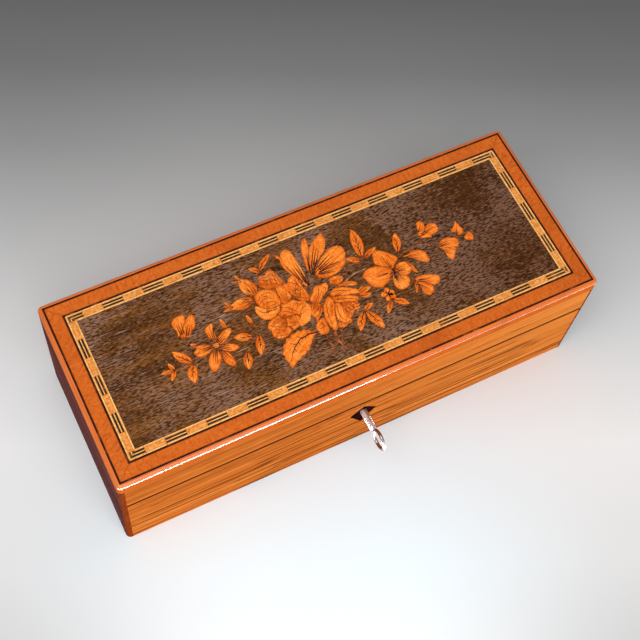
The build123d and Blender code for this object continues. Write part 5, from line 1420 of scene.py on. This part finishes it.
def drive_screws(name, holes, body, *replaced):
    """Sets a screw in each hole, given by its place and the way that its head faces."""
    marks = mesh_piece(name + "_holes", [hole for hole, way in holes], [])
    layer = marks.data.attributes.new("head_way", "FLOAT_VECTOR", "POINT")
    layer.data.foreach_set("vector", [c for hole, way in holes for c in way])
    modifier = marks.modifiers.new("screws", "NODES")
    modifier.node_group = screw_tree
    modifier[shape_input.identifier] = one_screw
    modifier[turn_input.identifier] = pi
    modifier[finish_input.identifier] = old_brass
    screws = made_plain(marks, name, body)
    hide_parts(*replaced)


hinge_screw_x = (-107.0, -83.0, 83.0, 107.0)
hinge_screw_y = 52.175
seam_half_gap = 0.15
lock_screw_x = 23.7
lock_screw_levels = (31.15, 51.35)
inner_front = -48.5
link_screw_x = 21.5
link_screw_y = -52.4
base_rim = seam_level - seam_half_gap
lid_rim = seam_level + seam_half_gap
base_holes = [((x, hinge_screw_y, base_rim), (0, 0, 1)) for x in hinge_screw_x]
for x in (-lock_screw_x, lock_screw_x):
    base_holes += [((x, inner_front, z), (0, 1, 0)) for z in lock_screw_levels]
lid_holes = [((x, hinge_screw_y, lid_rim), (0, 0, -1)) for x in hinge_screw_x]
lid_holes += [((x, link_screw_y, lid_rim), (0, 0, -1)) for x in (-link_screw_x, link_screw_x)]
drive_screws("base_screws", base_holes, "base", "base_hinge_screws", "lock_screws")
drive_screws("lid_screws", lid_holes, "lid", "lid_hinge_screws", "link_plate_screws")
bpy.data.objects.remove(one_screw)


# Key: a small cabinet key with a piped barrel, turned rings and an oval bow, standing in the lock.
# Cast and filed from steel and polished bright by hands; its bow is painted brown as a painted dark
# reflection.
key_level = 43.0
front_face = -58.5
pipe_radius = 1.25
barrel_radius = 2.15
neck_radius = 1.3
pipe_end = -49.9
pipe_floor = -64.9
turned_sides = 28
groove_radius = 1.8
groove_half = 0.35
groove_floor_half = 0.12
closing_radius = 0.05
shoulder = 14.2
turned_out = [(0.0, barrel_radius)]
for groove in (5.6, 7.0, 8.3, 9.5, 10.6):
    turned_out += [
        (groove - groove_half, barrel_radius), (groove - groove_floor_half, groove_radius),
        (groove + groove_floor_half, groove_radius), (groove + groove_half, barrel_radius)]
turned_out += [(11.7, 2.1), (12.2, 1.85), (12.8, 1.5), (13.3, neck_radius), (shoulder, 1.35)]

barrel = [
    (pipe_floor, closing_radius), (pipe_floor, pipe_radius), (pipe_end - 0.15, pipe_radius),
    (pipe_end, pipe_radius + 0.15), (pipe_end, barrel_radius - 0.2), (pipe_end - 0.2, barrel_radius)]
barrel += [(front_face - out, radius) for out, radius in turned_out]
barrel.append((front_face - shoulder, closing_radius))
key_points = []
key_faces = []
for y, radius in barrel:
    for i in range(turned_sides):
        angle = 2 * pi * i / turned_sides
        key_points.append((radius * cos(angle), y, key_level + radius * sin(angle)))
for k in range(len(barrel) - 1):
    for i in range(turned_sides):
        j = (i + 1) % turned_sides
        a, b = k * turned_sides, (k + 1) * turned_sides
        key_faces.append((a + i, a + j, b + j, b + i))
key_faces.append(tuple(range(turned_sides)))
key_faces.append(tuple((len(barrel) - 1) * turned_sides + i for i in reversed(range(turned_sides))))

# The bow is an oval ring, thicker across its far end, filed round in section
bow_middle = -78.2
bow_half_length = 5.95
bow_half_height = 6.7
bow_steps = 48
wire_steps = 14
wire_half_wide = 0.95
wire_half_deep = 0.82
first = len(key_points)
for i in range(bow_steps):
    turn = 2 * pi * i / bow_steps
    toward_end = (1 - cos(turn)) / 2
    out = Vector((0, cos(turn) / bow_half_length, sin(turn) / bow_half_height)).normalized()
    centre = Vector((0, bow_middle + bow_half_length * cos(turn), key_level + bow_half_height * sin(turn)))
    wide = wire_half_wide + 0.12 * toward_end
    deep = wire_half_deep + 0.20 * toward_end
    for k in range(wire_steps):
        angle = 2 * pi * k / wire_steps
        sideways = Vector((wide * sin(angle), 0, 0))
        key_points.append(tuple(centre + out * deep * cos(angle) + sideways))
for i in range(bow_steps):
    for k in range(wire_steps):
        a, b = first + i * wire_steps, first + (i + 1) % bow_steps * wire_steps
        j = (k + 1) % wire_steps
        key_faces.append((a + k, a + j, b + j, b + k))

# The bit is a flat web under the barrel, with one slot that lets it pass the ward
bit_half = 1.0
bit_outline = [
    (-54.5, -1.2), (-54.5, -3.8), (-53.25, -3.8), (-53.25, -4.8), (-54.5, -4.8), (-54.5, -6.3),
    (-54.3, -6.5), (-51.1, -6.5), (-50.9, -6.3), (-50.9, -1.2)]
first = len(key_points)
count = len(bit_outline)
for x in (-bit_half, bit_half):
    key_points += [(x, y, key_level + drop) for y, drop in bit_outline]
for i in range(count):
    j = (i + 1) % count
    key_faces.append((first + i, first + j, first + count + j, first + count + i))
key_faces.append(tuple(first + i for i in range(count)))
key_faces.append(tuple(first + count + i for i in reversed(range(count))))

key_steel, tree, shader = new_finish("hand_polished_key_steel", {"Metallic": 1.0, "Roughness": 0.40})
place = add_node(tree, "ShaderNodeTexCoord", result="Object")
worn = clouds(tree, place, 3.5, 121.0, detail=3.0)
colour = add_node(tree, "ShaderNodeValToRGB", {"Fac": worn}, "Color", stops=[
    (0.30, "#A89C9E"), (0.46, "#C8BEC0"), (0.60, "#DCD4D8"), (0.80, "#F0ECF0")])
levels = tree.nodes.new("ShaderNodeSeparateXYZ")
tree.links.new(place, levels.inputs[0])
# Painted reflection: the bow is painted brown to stand for the darker room that its polish mirrors.
barrel_side = -70.5 * mm
bow_side = -73.0 * mm
colour = stain(tree, colour, levels.outputs[1], barrel_side, bow_side, 0.65, "#7A5A50")
handled = add_node(tree, "ShaderNodeMapRange", {
    "Value": levels.outputs[1], "From Min": barrel_side, "From Max": bow_side,
    "To Min": 0.40, "To Max": 0.20})
tree.links.new(handled, shader.inputs["Roughness"])
finish_off(tree, shader, colour, worn, 0.02)

key = mesh_piece("cabinet_key", key_points, key_faces, key_steel, smooth=True)
point_outwards(key)
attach(key, "key")
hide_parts("key")
